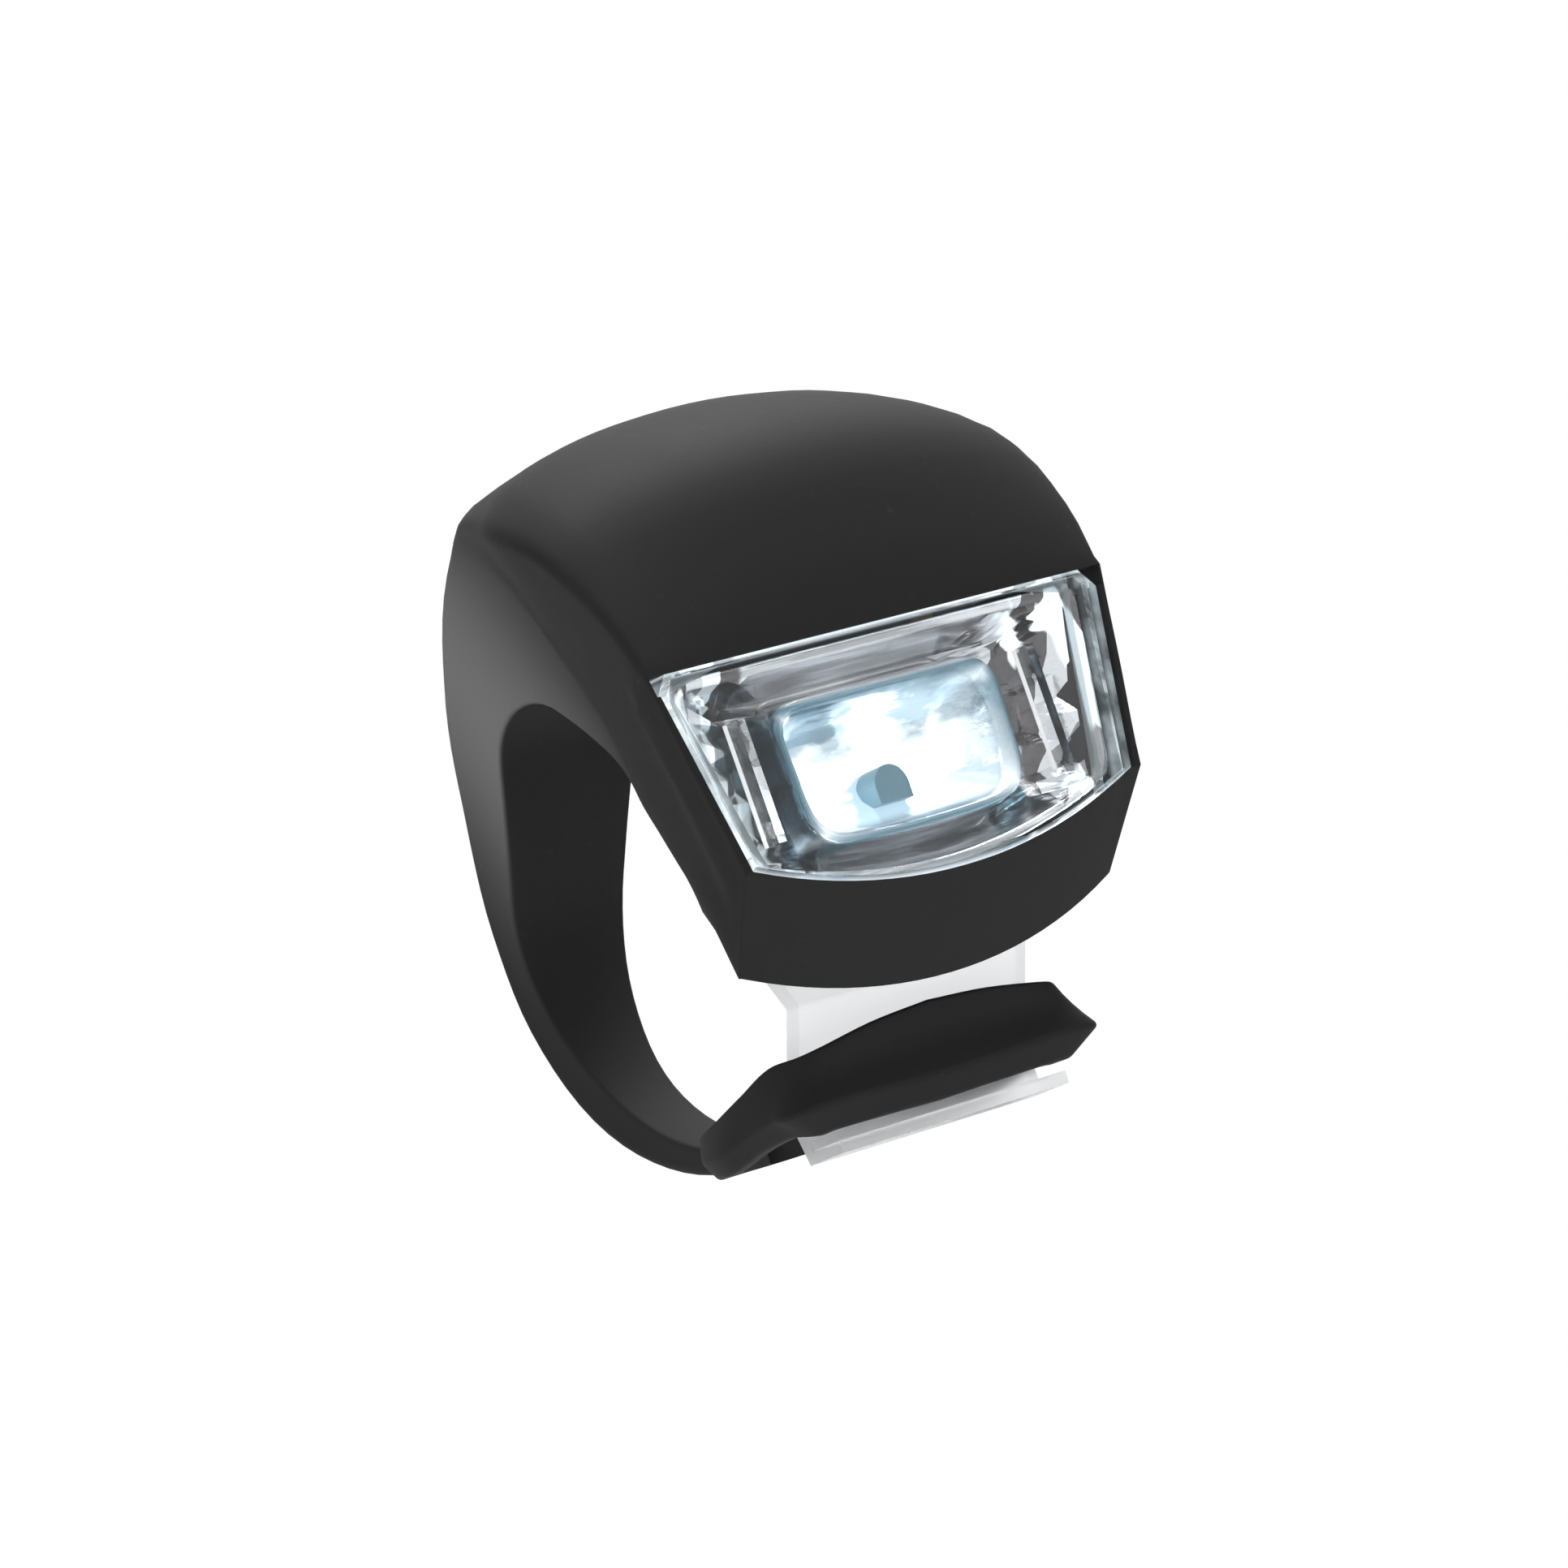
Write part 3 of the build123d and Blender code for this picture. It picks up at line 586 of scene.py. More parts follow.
def crownPoint(half, low, high, t):
    # point of a full, soft arch, from its foot at 0 to its middle at 0.5, where it stands at high
    full = skin["crownFullness"]
    middleWeight = 0.75
    lift = low + (high - low) / middleWeight
    x = half * ((1 - t) ** 3 + 3 * full * (1 - t) ** 2 * t - 3 * full * (1 - t) * t**2 - t**3)
    return x, low * ((1 - t) ** 3 + t**3) + lift * 3 * t * (1 - t)


def crownStart(half, low, high):
    # where the arch has come in far enough from the shoulder
    reach = half - min(skin["crownFrom"], skin["crownFromShare"] * half)
    near, far = 0.0, 0.5
    for _ in range(skin["searchSteps"]):
        t = (near + far) / 2
        if crownPoint(half, low, high, t)[0] > reach:
            near = t
        else:
            far = t
    return near


def halfRing(middle, bar, belt, shoulder, top, shoulderEdge):
    # half outline of the skin: along the bar's side, over the belt and the shoulder to the top
    steps = skin["cornerSteps"]
    points = [Vector(middle)]
    barBend = roundCorner(middle, bar, belt, skin["barEdge"], steps)
    beltBend = roundCorner(bar, belt, shoulder, skin["beltEdge"], steps)
    shoulderBend = roundCorner(belt, shoulder, top[0], shoulderEdge, steps)
    for bend, between in zip((barBend, beltBend, shoulderBend), skin["sideSteps"]):
        points += run(points[-1], bend[0], between) + bend
    return points + [Vector(p) for p in top]


def openRing(angle):
    # where the crown is free
    floor, barHalf, belt, shoulder, crown = flankCorners(angle)
    half, low = shoulder
    near = crownStart(half, low, crown)
    steps = skin["topSteps"]
    top = [crownPoint(half, low, crown, near + (0.5 - near) * i / (steps - 1)) for i in range(steps)]
    ring = halfRing(
        onFan(0, floor, angle),
        onFan(barHalf, floor, angle),
        onFan(belt[0], belt[1], angle),
        onFan(half, low, angle),
        [onFan(x, radius, angle) for x, radius in top],
        skin["shoulderEdge"],
    )
    for point in ring:
        point.y = max(point.y, skin["lensFace"])
    return ring


# silicone: round the lens and down the lip


def lensHalf(z):
    # half-width of the lens at this height
    share = (z - skin["lensBottom"]) / (skin["lensTop"] - skin["lensBottom"])
    return skin["lensBottomHalf"] + share * (skin["lensTopHalf"] - skin["lensBottomHalf"])


def smileHeight(x):
    # height of the lens's curved lower edge
    half, drop = skin["lensBottomHalf"], skin["smile"]
    radius = (half**2 + drop**2) / (2 * drop)
    return skin["lensBottom"] - drop + radius - math.sqrt(radius**2 - min(x, half) ** 2)


def lipEdge(x):
    # lower edge of the lip, which dips at its middle
    cornerX, cornerY, cornerZ = skin["lipCorner"]
    middleY, middleZ = skin["lipMiddle"]
    drop = cornerZ - middleZ
    radius = (cornerX**2 + drop**2) / (2 * drop)
    y = middleY + (cornerY - middleY) * (x / cornerX) ** 2
    return Vector((x, y, middleZ + radius - math.sqrt(radius**2 - x**2)))


def frontCorner(angle):
    # half-width at which the flank reaches the plane of the lens
    belt, shoulder = flankCorners(angle)[2:4]
    radius = -skin["lensFace"] / math.cos(math.radians(180 - angle))
    share = (radius - belt[1]) / (shoulder[1] - belt[1])
    return belt[0] + share * (shoulder[0] - belt[0])


def fillCheek(ring, share=1.0):
    # the flank swells a little to cover the side of the lens
    for point in ring[: -skin["topSteps"]]:
        near = min(1.0, max(0.0, (cheek["from"] - point.y) / cheek["length"]))
        need = lensHalf(min(point.z, skin["lensTop"])) + cheek["cover"]
        point.x += share * near * max(0.0, need - point.x)
    return ring


def lensRing(z, boundary):
    # beside the lens: boundary is the half-width of the lens at this height
    angle = faceAngle(z)
    floor, barHalf, belt = flankCorners(angle)[:3]
    steps = skin["topSteps"]
    face = skin["lensFace"]
    xs = [boundary * (1 - i / (steps - 1)) for i in range(steps)]
    level = [smileHeight(x) if z <= skin["lensBottom"] else z for x in xs]
    ring = halfRing(
        onFan(0, floor, angle),
        onFan(barHalf, floor, angle),
        onFan(belt[0], belt[1], angle),
        (max(frontCorner(angle), xs[0] + skin["rim"]), face, z),
        [(x, face, h) for x, h in zip(xs, level)],
        skin["frontEdge"],
    )
    return fillCheek(ring)


def lipRing(t):
    # from the lower edge of the lens, at 0, to the lower edge of the lip, at 1
    first = faceAngle(skin["lensBottom"])
    angle = first + t * (skin["lipEnd"] - first)
    floorAngle = first + t * (skin["floorEnd"] - first)
    floor = floorRadius(floorAngle)
    barHalf, beltHalf, belt = smoothTable(skin["stations"], angle)[:3]
    # it starts as wide at the bar as the last ring beside the lens
    barHalf += (1 - t) * (flankCorners(first)[1] - smoothTable(skin["stations"], first)[0])
    top = []
    steps = skin["topSteps"]
    for i in range(steps):
        side = 1 - i / (steps - 1)
        x = skin["lensBottomHalf"] * side
        start = Vector((x, skin["lensFace"], smileHeight(x)))
        top.append(start.lerp(lipEdge((skin["lipCorner"][0] - skin["lipInset"]) * side), t))
    corner = Vector((frontCorner(first), skin["lensFace"], skin["lensBottom"]))
    return halfRing(
        onFan(0, floor, floorAngle),
        onFan(barHalf, floor, floorAngle),
        onFan(beltHalf - skin["beltIn"] * t, belt, angle),
        corner.lerp(Vector(skin["lipCorner"]), t),
        top,
        skin["frontEdge"],
    )


# silicone: the fork, whose two legs end in the crossbar

fork = {
    # share of the way from the strap to the middle of the crossbar; then five corners
    # of the section: inner top, outer top, ridge, outer low and inner low
    "stations": [
        (0.00, 0, 3.49, -13.04, 2.2, 3.49, -13.04, 2.2, 3.83, -14.3,
         1.8, 3.93, -14.68, 0, 3.99, -14.88),
        (0.11, 0, 1.2, -13.42, 4.1, 1.2, -13.3, 4.3, 1.2, -14.3,
         3.8, 1.1, -15.1, 0, 1.2, -15.2),
        (0.19, 3.0, -1.0, -13.3, 6.2, -0.8, -12.8, 6.5, -0.8, -14.1,
         6.0, -0.9, -15.3, 3.0, -1.0, -15.3),
        (0.33, 6.8, -4.2, -12.95, 9.0, -4.0, -12.45, 9.5, -4.0, -14.1,
         8.8, -4.3, -15.45, 6.8, -4.2, -15.4),
        (0.47, 9.6, -8.4, -12.4, 10.9, -8.4, -12.0, 11.6, -8.4, -14.2,
         10.9, -8.5, -15.6, 9.6, -8.4, -15.5),
        (0.60, 10.1, -12.4, -11.6, 11.6, -12.4, -11.2, 12.4, -12.4, -13.9,
         11.5, -12.4, -15.1, 10.1, -12.4, -15.0),
        (0.72, 10.1, -15.4, -10.7, 11.5, -15.8, -10.3, 13.0, -15.9, -13.6,
         11.6, -15.7, -14.95, 10.1, -15.4, -14.95),
        (0.80, 9.9, -16.6, -10.5, 10.8, -18.2, -10.35, 13.3, -18.3, -13.9,
         10.9, -17.4, -15.35, 9.9, -16.6, -15.35),
        (0.85, 8.6, -16.9, -10.35, 9.2, -18.9, -10.15, 10.4, -18.75, -13.8,
         9.9, -17.75, -15.3, 8.6, -16.9, -15.3),
        (0.92, 4.6, -16.9, -9.75, 4.8, -19.0, -9.55, 5.2, -18.6, -13.9,
         5.0, -17.75, -15.35, 4.6, -16.9, -15.35),
        (1.00, 0, -16.9, -9.5, 0, -19.0, -9.25, 0, -18.55, -14.0,
         0, -17.75, -15.45, 0, -16.9, -15.45),
    ],
    "topEdge": 0.3,
    "ridgeEdge": 0.35,
    "lowEdge": 0.3,
    # hollow along the crossbar
    "dish": 0.4,
    "dishFrom": 0.7,
    "dishLength": 0.2,
    "dishShape": (0.75, 1.0, 0.75),
    "sideSteps": 3,
    "steps": 60,
}


def forkRing(t):
    # outline of the fork at t: 0 where the strap ends, 1 at the middle of the crossbar
    values = smoothTable(fork["stations"], t)
    innerTop, outerTop, ridge, outerLow, innerLow = (Vector(values[k : k + 3]) for k in range(0, 15, 3))
    steps, between = skin["cornerSteps"], fork["sideSteps"]
    topBend = roundCorner(innerTop, outerTop, ridge, fork["topEdge"], steps)
    ridgeBend = roundCorner(outerTop, ridge, outerLow, fork["ridgeEdge"], steps)
    lowBend = roundCorner(ridge, outerLow, innerLow, fork["lowEdge"], steps)
    scoop = run(topBend[-1], ridgeBend[0], len(fork["dishShape"]))
    dish = fork["dish"] * min(max((t - fork["dishFrom"]) / fork["dishLength"], 0.0), 1.0)
    for point, depth in zip(scoop, fork["dishShape"]):
        point.y += dish * depth
    points = [innerTop] + run(innerTop, topBend[0], between) + topBend + scoop + ridgeBend
    points += run(points[-1], lowBend[0], between) + lowBend
    last = lowBend[-1]
    points += [last.lerp(innerLow, i / skin["topSteps"]) for i in range(1, skin["topSteps"] + 1)]
    return points + run(innerLow, innerTop, between)


# silicone: the rings joined into one skin


def buildRings():
    # half rings of the skin from the strap over the crown and beside the lens to the lip
    rings = [openRing(angle) for angle in (*skin["strapAngles"], *skin["headAngles"])]
    fillCheek(rings[-1], cheek["late"])
    fillCheek(rings[-2], cheek["early"])
    lowerZ = skin["lensTop"] - skin["lensCorner"]
    rings.append(lensRing(skin["lensTop"], skin["lensTopHalf"] - skin["lensCorner"]))
    for i in range(skin["lensSteps"] + 1):
        z = lowerZ + (skin["lensBottom"] - lowerZ) * i / skin["lensSteps"]
        rings.append(lensRing(z, lensHalf(z)))
    lipRings = [lipRing(t) for t in skin["lipShares"]]
    fillCheek(lipRings[0], cheek["lip"])
    return rings + lipRings


def undersideRows(last):
    # from the lower edge of the lip, the end of the last ring, back and up to the bar
    side = last[: -skin["topSteps"] + 1][::-1]
    front = last[-skin["topSteps"]:]
    bottom = skin["underside"]
    rows = [front]
    for j in range(1, len(side)):
        share = j / (len(side) - 1)
        k = share * (len(bottom) - 1)
        low = min(int(k), len(bottom) - 2)
        centre = Vector((0, *bottom[low])).lerp(Vector((0, *bottom[low + 1])), k - low)
        row = []
        # the lip's dip dies out towards the bar
        for i, point in enumerate(front):
            across = i / (len(front) - 1)
            sag = point - front[0].lerp(front[-1], across)
            row.append(side[j].lerp(centre, across) + sag * (1 - share) ** 3)
        rows.append(row)
    return rows


def cutWindow(bm):
    # the lens shows through here
    window = []
    for face in bm.faces:
        centre = face.calc_center_median()
        x, z = centre.x / mm, centre.z / mm
        inFront = centre.y < (skin["lensFace"] + skin["faceSlack"]) * mm
        if inFront and skin["lensBottom"] - skin["smile"] < z < skin["lensTop"] and x < lensHalf(z):
            window.append(face)
    bmesh.ops.delete(bm, geom=window, context="FACES")


def mirrorSkin(bm):
    # the other half, joined along the middle without a wall between the two
    bmesh.ops.mirror(bm, geom=bm.verts[:] + bm.edges[:] + bm.faces[:], axis="X", merge_dist=weld)
    bmesh.ops.remove_doubles(bm, verts=bm.verts[:], dist=weld)
    inner = [f for f in bm.faces if all(abs(v.co.x) < weld / 10 for v in f.verts)]
    bmesh.ops.delete(bm, geom=inner, context="FACES")


def turnRimIn(bm):
    # the window's rim goes back into the head, round the lens
    front = (skin["lensFace"] + skin["faceSlack"]) * mm
    rimEdges = [e for e in bm.edges if e.is_boundary and all(v.co.y < front for v in e.verts)]
    recess = bmesh.ops.extrude_edge_only(bm, edges=rimEdges)
    moved = [g for g in recess["geom"] if isinstance(g, bmesh.types.BMVert)]
    bmesh.ops.translate(bm, verts=moved, vec=(0, skin["recess"] * mm, 0))
    bmesh.ops.scale(bm, verts=moved, vec=(skin["recessTaper"], 1, 1))


rings = buildRings()
forkRings = [forkRing(i / fork["steps"]) for i in range(fork["steps"] + 1)]
# the strap's end meets the fork without its inner wall
innerWall = len(forkRings[0]) - len(rings[0])
bm = bmesh.new()
bridgeChains(bm, rings)
bridgeChains(bm, [rings[0], forkRings[0][:-innerWall]])
bridgeChains(bm, forkRings, closed=True)
bridgeChains(bm, undersideRows(rings[-1]))
bmesh.ops.remove_doubles(bm, verts=bm.verts[:], dist=weld)
bmesh.ops.dissolve_degenerate(bm, dist=weld, edges=bm.edges[:])
cutWindow(bm)
mirrorSkin(bm)
turnRimIn(bm)
bmesh.ops.recalc_face_normals(bm, faces=bm.faces[:])
for face in bm.faces:
    face.smooth = True
print("silicone skin:", len(bm.faces), "faces,", sum(e.is_boundary for e in bm.edges), "open edges")

siliconeWhole = makePiece("siliconeWhole", bm, siliconeMaterial)
bm.free()
siliconeWhole.data.set_sharp_from_angle(angle=math.radians(skin["sharpAngle"]))
wholeNormals = [Vector(corner.vector) for corner in siliconeWhole.data.corner_normals]


# silicone: the skin split into head and tail


def inTail(place):
    # behind the bar up to where the head begins, and everything under the bar
    behind = place.y > 0 and math.degrees(math.atan2(place.z, place.y)) < skin["tailAngle"]
    return behind or place.z < skin["tailHeight"] * mm


def splitSkin(name, keepHead):
    # the head or the tail of the skin, shaded as if it were still whole
    half = bmesh.new()
    half.from_mesh(siliconeWhole.data)
    index = half.faces.layers.int.new("wholeFace")
    for i, face in enumerate(half.faces):
        face[index] = i
    drop = [face for face in half.faces if inTail(face.calc_center_median()) == keepHead]
    bmesh.ops.delete(half, geom=drop, context="FACES")
    piece = makePiece(name, half, siliconeMaterial)
    kept = [siliconeWhole.data.polygons[face[index]] for face in half.faces]
    half.free()
    piece.data.normals_split_custom_set([wholeNormals[k] for face in kept for k in face.loop_indices])
    return piece


siliconeHead = splitSkin("siliconeHead", True)
siliconeTail = splitSkin("siliconeTail", False)
bpy.data.objects.remove(siliconeWhole)

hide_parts("silicone_body")
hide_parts("strap_end")
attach(siliconeHead, "light_head")
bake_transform(siliconeTail)
print("silicone pieces done")


# reflector's film: metal with facets, painted reflections, flames of painted diode light, painted highlight
# streaks, painted shade in the groove round the tub, and painted diode light in the tub

filmLook = {
    # colours of the frame and of the tub: the metal's own greys, painted reflections and highlights on the
    # frame, painted shade round and in the tub, and painted diode light
    "metal": 0.85,
    "plate": (0.52, 0.53, 0.55, 1),
    "darkFacetReflection": (0.15, 0.14, 0.145, 1),
    "flame": (0.95, 0.97, 1.0, 1),
    "streak": (0.95, 0.97, 1.0, 1),
    "trenchShade": (0.05, 0.1, 0.13, 1),
    "tub": (0.9, 0.95, 1.0, 1),
    "tubEdgeShade": (0.14, 0.28, 0.36, 1),
    "paintedDiodeLight": (0.82, 0.95, 1.0, 1),
    "paintedDiodeLightStrength": 0.5,
    # facets of the wings, each painted darker or paler as a painted reflection; all places are in metres
    "facetStretch": (1.0, 0.5, 0.36),
    "facetScale": 560.0,
    "facetTurn": 0.35,
    "facetPlate": (0.3, 0.5),
    "facetPaleReflection": (0.54, 0.58),
    "facetRoughness": (0.08, 0.25),
    # pale flames painted where the facets would throw the light of the diodes back: painted reflections
    # that also glow
    "flameStretch": (1.0, 0.4, 0.3),
    "flameScale": 680.0,
    "flameDetail": 1.0,
    "flameShare": (0.5, 0.54),
    "flameFrom": (0.0118, 0.0124),
    "paintedFlameLight": 0.8,
    # level streaks between the wings, above the tub: painted highlights over a real fluted bump
    "streakStretch": (0.05, 0.5, 1),
    "streakScale": 1600.0,
    "streakDetail": 3.0,
    "streakShare": (0.42, 0.6),
    "streakTo": (0.0106, 0.011),
    "streakBump": 0.08,
    "streakDepth": 0.0002,
    # the tub as half-width, bottom and top; then the distance inside it at which a part begins
    "box": (0.0094, 0.0006, 0.0103),
    "trenchFrom": (-0.0011, -0.0007),
    "trenchSides": (0.0078, 0.0088),
    "trenchMiddle": 0.35,
    "trenchTop": (0.0095, 0.0106),
    "tubFrom": (0.0, 0.0003),
    "brightFrom": (0.0003, 0.0013),
    "paintedDiodeLightFrom": (0.0006, 0.0016),
    # painted shade: darker patches in the tub's upper part
    "patchStretch": (0.5, 0.5, 1),
    "patchScale": 520.0,
    "patchDetail": 3.0,
    "patchShare": (0.42, 0.56),
    "patchLeast": 0.4,
    "patchHeight": (0.0064, 0.007),
}


def addMapping(tree, coords, stretch, turn=0.0):
    # places drawn together along each way, and turned round Y
    mapping = tree.nodes.new("ShaderNodeMapping")
    mapping.inputs["Scale"].default_value = stretch
    mapping.inputs["Rotation"].default_value = (0, turn, 0)
    tree.links.new(coords, mapping.inputs["Vector"])
    return mapping.outputs["Vector"]


def addFilmNoise(tree, coords, kind):
    # noise of one kind, such as flame, with its stretch, scale and detail
    look = filmLook
    mapped = addMapping(tree, coords, look[kind + "Stretch"])
    return addNoise(tree, mapped, look[kind + "Scale"], look[kind + "Detail"])


def addFacets(tree, coords, stretch, scale, turn):
    # one random grey for each facet
    cells = tree.nodes.new("ShaderNodeTexVoronoi")
    cells.inputs["Scale"].default_value = scale
    tree.links.new(addMapping(tree, coords, stretch, turn), cells.inputs["Vector"])
    split = tree.nodes.new("ShaderNodeSeparateColor")
    tree.links.new(cells.outputs["Color"], split.inputs["Color"])
    return split.outputs["Red"]


def addStep(tree, value, place, low=0.0, high=1.0):
    # a soft step between two places
    return addRange(tree, value, *place, low, high)


def addBoxDistance(tree, across, up, half, low, high):
    # distance to the nearest side of a box, above zero inside it
    toSide = addMath(tree, "SUBTRACT", half, across)
    toTop = addMath(tree, "SUBTRACT", high, up)
    toLow = addMath(tree, "SUBTRACT", up, low)
    return addMath(tree, "MINIMUM", toSide, addMath(tree, "MINIMUM", toTop, toLow))


def addPaintedFrameReflections(tree, acrossX, facets, paintedFlames, streaks):
    # painted reflections: darker and paler facets on the wings, and painted highlight streaks between them
    look = filmLook
    wings = addMix(tree, addStep(tree, facets, look["facetPlate"]), look["darkFacetReflection"], look["plate"])
    wings = addMix(tree, addStep(tree, facets, look["facetPaleReflection"]), wings, look["flame"])
    wings = addMix(tree, paintedFlames, wings, look["flame"])
    band = addMix(tree, streaks, look["plate"], look["streak"])
    return addMix(tree, addStep(tree, acrossX, look["streakTo"]), band, wings)


def addTrenchShade(tree, acrossX, upZ, toTub):
    # painted shade: a dark line in the groove round the tub, weaker along its middle and gone above it
    look = filmLook
    trenchShade = addStep(tree, toTub, look["trenchFrom"])
    sides = addStep(tree, acrossX, look["trenchSides"], look["trenchMiddle"])
    trenchShade = addMath(tree, "MULTIPLY", trenchShade, sides)
    return addMath(tree, "MULTIPLY", trenchShade, addStep(tree, upZ, look["trenchTop"], 1.0, 0.0))


def addTubShade(tree, coords, upZ):
    # painted shade: 1 in the tub's lower part, darker patches above
    look = filmLook
    patches = addStep(tree, addFilmNoise(tree, coords, "patch"), look["patchShare"], look["patchLeast"])
    upper = addStep(tree, upZ, look["patchHeight"])
    return addRange(tree, upper, 0.0, 1.0, 1.0, patches)


def buildFilm():
    # metal film of the whole reflector, with painted reflections, painted shade and a glow of painted diode
    # light
    look = filmLook
    material, tree, shader, coords = newMaterial(
        "reflectorFilm", {"Metallic": look["metal"], "Emission Strength": look["paintedDiodeLightStrength"]}
    )
    acrossX, upZ = splitPlace(tree, coords)
    toTub = addBoxDistance(tree, acrossX, upZ, *look["box"])
    facets = addFacets(tree, coords, look["facetStretch"], look["facetScale"], look["facetTurn"])
    # painted reflections of the diodes' light on the outer wings
    paintedFlames = addStep(tree, addFilmNoise(tree, coords, "flame"), look["flameShare"])
    paintedFlames = addMath(tree, "MULTIPLY", paintedFlames, addStep(tree, acrossX, look["flameFrom"]))
    # painted highlight streaks; the same mask also drives a real bump
    streaks = addStep(tree, addFilmNoise(tree, coords, "streak"), look["streakShare"])

    tint = addPaintedFrameReflections(tree, acrossX, facets, paintedFlames, streaks)
    # painted shade in the groove round the tub
    tint = addMix(tree, addTrenchShade(tree, acrossX, upZ, toTub), tint, look["trenchShade"])
    # painted shade along the tub's edges and in the patches above
    tubTint = addMix(tree, addStep(tree, toTub, look["brightFrom"]), look["tubEdgeShade"], look["tub"])
    shade = addTubShade(tree, coords, upZ)
    tubTint = addMix(tree, shade, look["tubEdgeShade"], tubTint)
    tint = addMix(tree, addStep(tree, toTub, look["tubFrom"]), tint, tubTint)
    tree.links.new(tint, shader.inputs["Base Color"])
    rough = addRange(tree, facets, 0.0, 1.0, *look["facetRoughness"])
    tree.links.new(rough, shader.inputs["Roughness"])

    # painted diode light: the tub and the flames glow
    paintedLightMask = addMath(tree, "MULTIPLY", addStep(tree, toTub, look["paintedDiodeLightFrom"]), shade)
    paintedLightMask = addMath(tree, "MAXIMUM", paintedLightMask, addMath(tree, "MULTIPLY", paintedFlames, look["paintedFlameLight"]))
    tree.links.new(addMix(tree, paintedLightMask, (0, 0, 0, 1), look["paintedDiodeLight"]), shader.inputs["Emission Color"])
    bump = tree.nodes.new("ShaderNodeBump")
    bump.inputs["Strength"].default_value = look["streakBump"]
    bump.inputs["Distance"].default_value = look["streakDepth"]
    tree.links.new(streaks, bump.inputs["Height"])
    tree.links.new(bump.outputs["Normal"], shader.inputs["Normal"])
    return material


# reflector: a tub, bright with painted diode light, in a wide faceted frame that fills the lens

reflector = {
    # outline corners from the top left round to the bottom left, as x and z, in millimetres
    "outline": ((-17.9, 13.0), (17.9, 13.0), (15.5, 0.9), (-15.5, 0.9)),
    "opening": ((-9.5, 10.4), (9.5, 10.4), (9.1, 1.2), (-9.1, 1.2)),
    # corners above this height are the upper ones
    "upperFrom": 3,
    "rings": [
        # 0 for the outline and 1 for the opening; inset; corner; depth; sag
        (0, -0.2, 1.2, -24.15, 2.8),
        (0, 0.3, 1.2, -24.1, 2.7),
        (0.2, 0.0, 1.3, -23.9, 2.4),
        (0.33, 0.0, 1.4, -23.2, 2.1),
        (0.66, 0.0, 1.8, -21.7, 1.4),
        (1, -1.0, 2.6, -20.7, 1.0),
        (1, -0.5, 2.5, -20.5, 0.8),
        (1, -0.1, 2.4, -23.2, 0.6),
        (1, 0.15, 2.4, -23.7, 0.5),
        (1, 0.5, 2.4, -23.6, 0.5),
        (1, 0.9, 2.4, -22.6, 0.4),
        (1, 1.7, 2.2, -20.9, 0.2),
        (1, 2.4, 1.6, -19.9, 0.0),
        (1, 3.2, 0.6, -19.6, 0.0),
    ],
    # what is open behind this depth becomes the tub's floor
    "floorFrom": -20,
    # facets of the wings: how far their corners stand in and out, and where they lie
    "facet": 0.45,
    "facetPush": (1, -1, 0.4),
    "facetFrom": 10.8,
    "facetDepth": (-23.5, -21.5),
    "sideSteps": (18, 5, 18, 5),
    "thickness": 0.35,
}


def frameRing(blend, inset, corner, depth, sag):
    # closed outline between the lens's outline and the tub's opening
    corners = []
    for outer, inner in zip(reflector["outline"], reflector["opening"]):
        x = outer[0] + blend * (inner[0] - outer[0])
        z = outer[1] + blend * (inner[1] - outer[1])
        down = inset if z > reflector["upperFrom"] else -inset
        corners.append(Vector((x - math.copysign(inset, x), depth, z - down)))
    points = []
    steps = skin["cornerSteps"]
    bends = [roundCorner(corners[i - 1], corners[i], corners[(i + 1) % 4], corner, steps) for i in range(4)]
    for i, bend in enumerate(bends):
        points += bend + run(bend[-1], bends[(i + 1) % 4][0], reflector["sideSteps"][i])
    half = corners[2].x
    for point in points:
        if point.z < corners[2].z + corner and abs(point.x) < half:
            share = min(1.0, (corners[2].z + corner - point.z) / corner)
            point.z -= sag * share * (1 - (point.x / half) ** 2)
    return points


def cutFacets(bm):
    # the wings' corners stand in and out by turns, between flat triangles
    front, back = reflector["facetDepth"]
    side = reflector["facetFrom"] * mm
    wing = [v for v in bm.verts if abs(v.co.x) > side and front * mm < v.co.y < back * mm]
    for i, vert in enumerate(sorted(wing, key=lambda v: (v.co.y, v.co.z))):
        vert.co.y += reflector["facetPush"][i % 3] * reflector["facet"] * mm
    cut = bmesh.ops.triangulate(bm, faces=list({f for v in wing for f in v.link_faces}))
    return set(cut["faces"])


bm = bmesh.new()
bridgeChains(bm, [frameRing(*row) for row in reflector["rings"]], closed=True)
bmesh.ops.remove_doubles(bm, verts=bm.verts[:], dist=weld)
floorY = reflector["floorFrom"] * mm
floorEdges = [e for e in bm.edges if e.is_boundary and all(v.co.y > floorY for v in e.verts)]
bmesh.ops.contextual_create(bm, geom=floorEdges)
wingFaces = cutFacets(bm)
bmesh.ops.recalc_face_normals(bm, faces=bm.faces[:])
if sum(f.normal.y for f in bm.faces) > 0:
    bmesh.ops.reverse_faces(bm, faces=bm.faces[:])
for face in bm.faces:
    face.smooth = face not in wingFaces

reflectorTub = makePiece("reflectorTub", bm, buildFilm())
bm.free()
wall = reflectorTub.modifiers.new("wall", "SOLIDIFY")
wall.thickness = reflector["thickness"] * mm
wall.offset = -1
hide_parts("reflector")
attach(reflectorTub, "light_head")


# rounded post that stands between the diodes

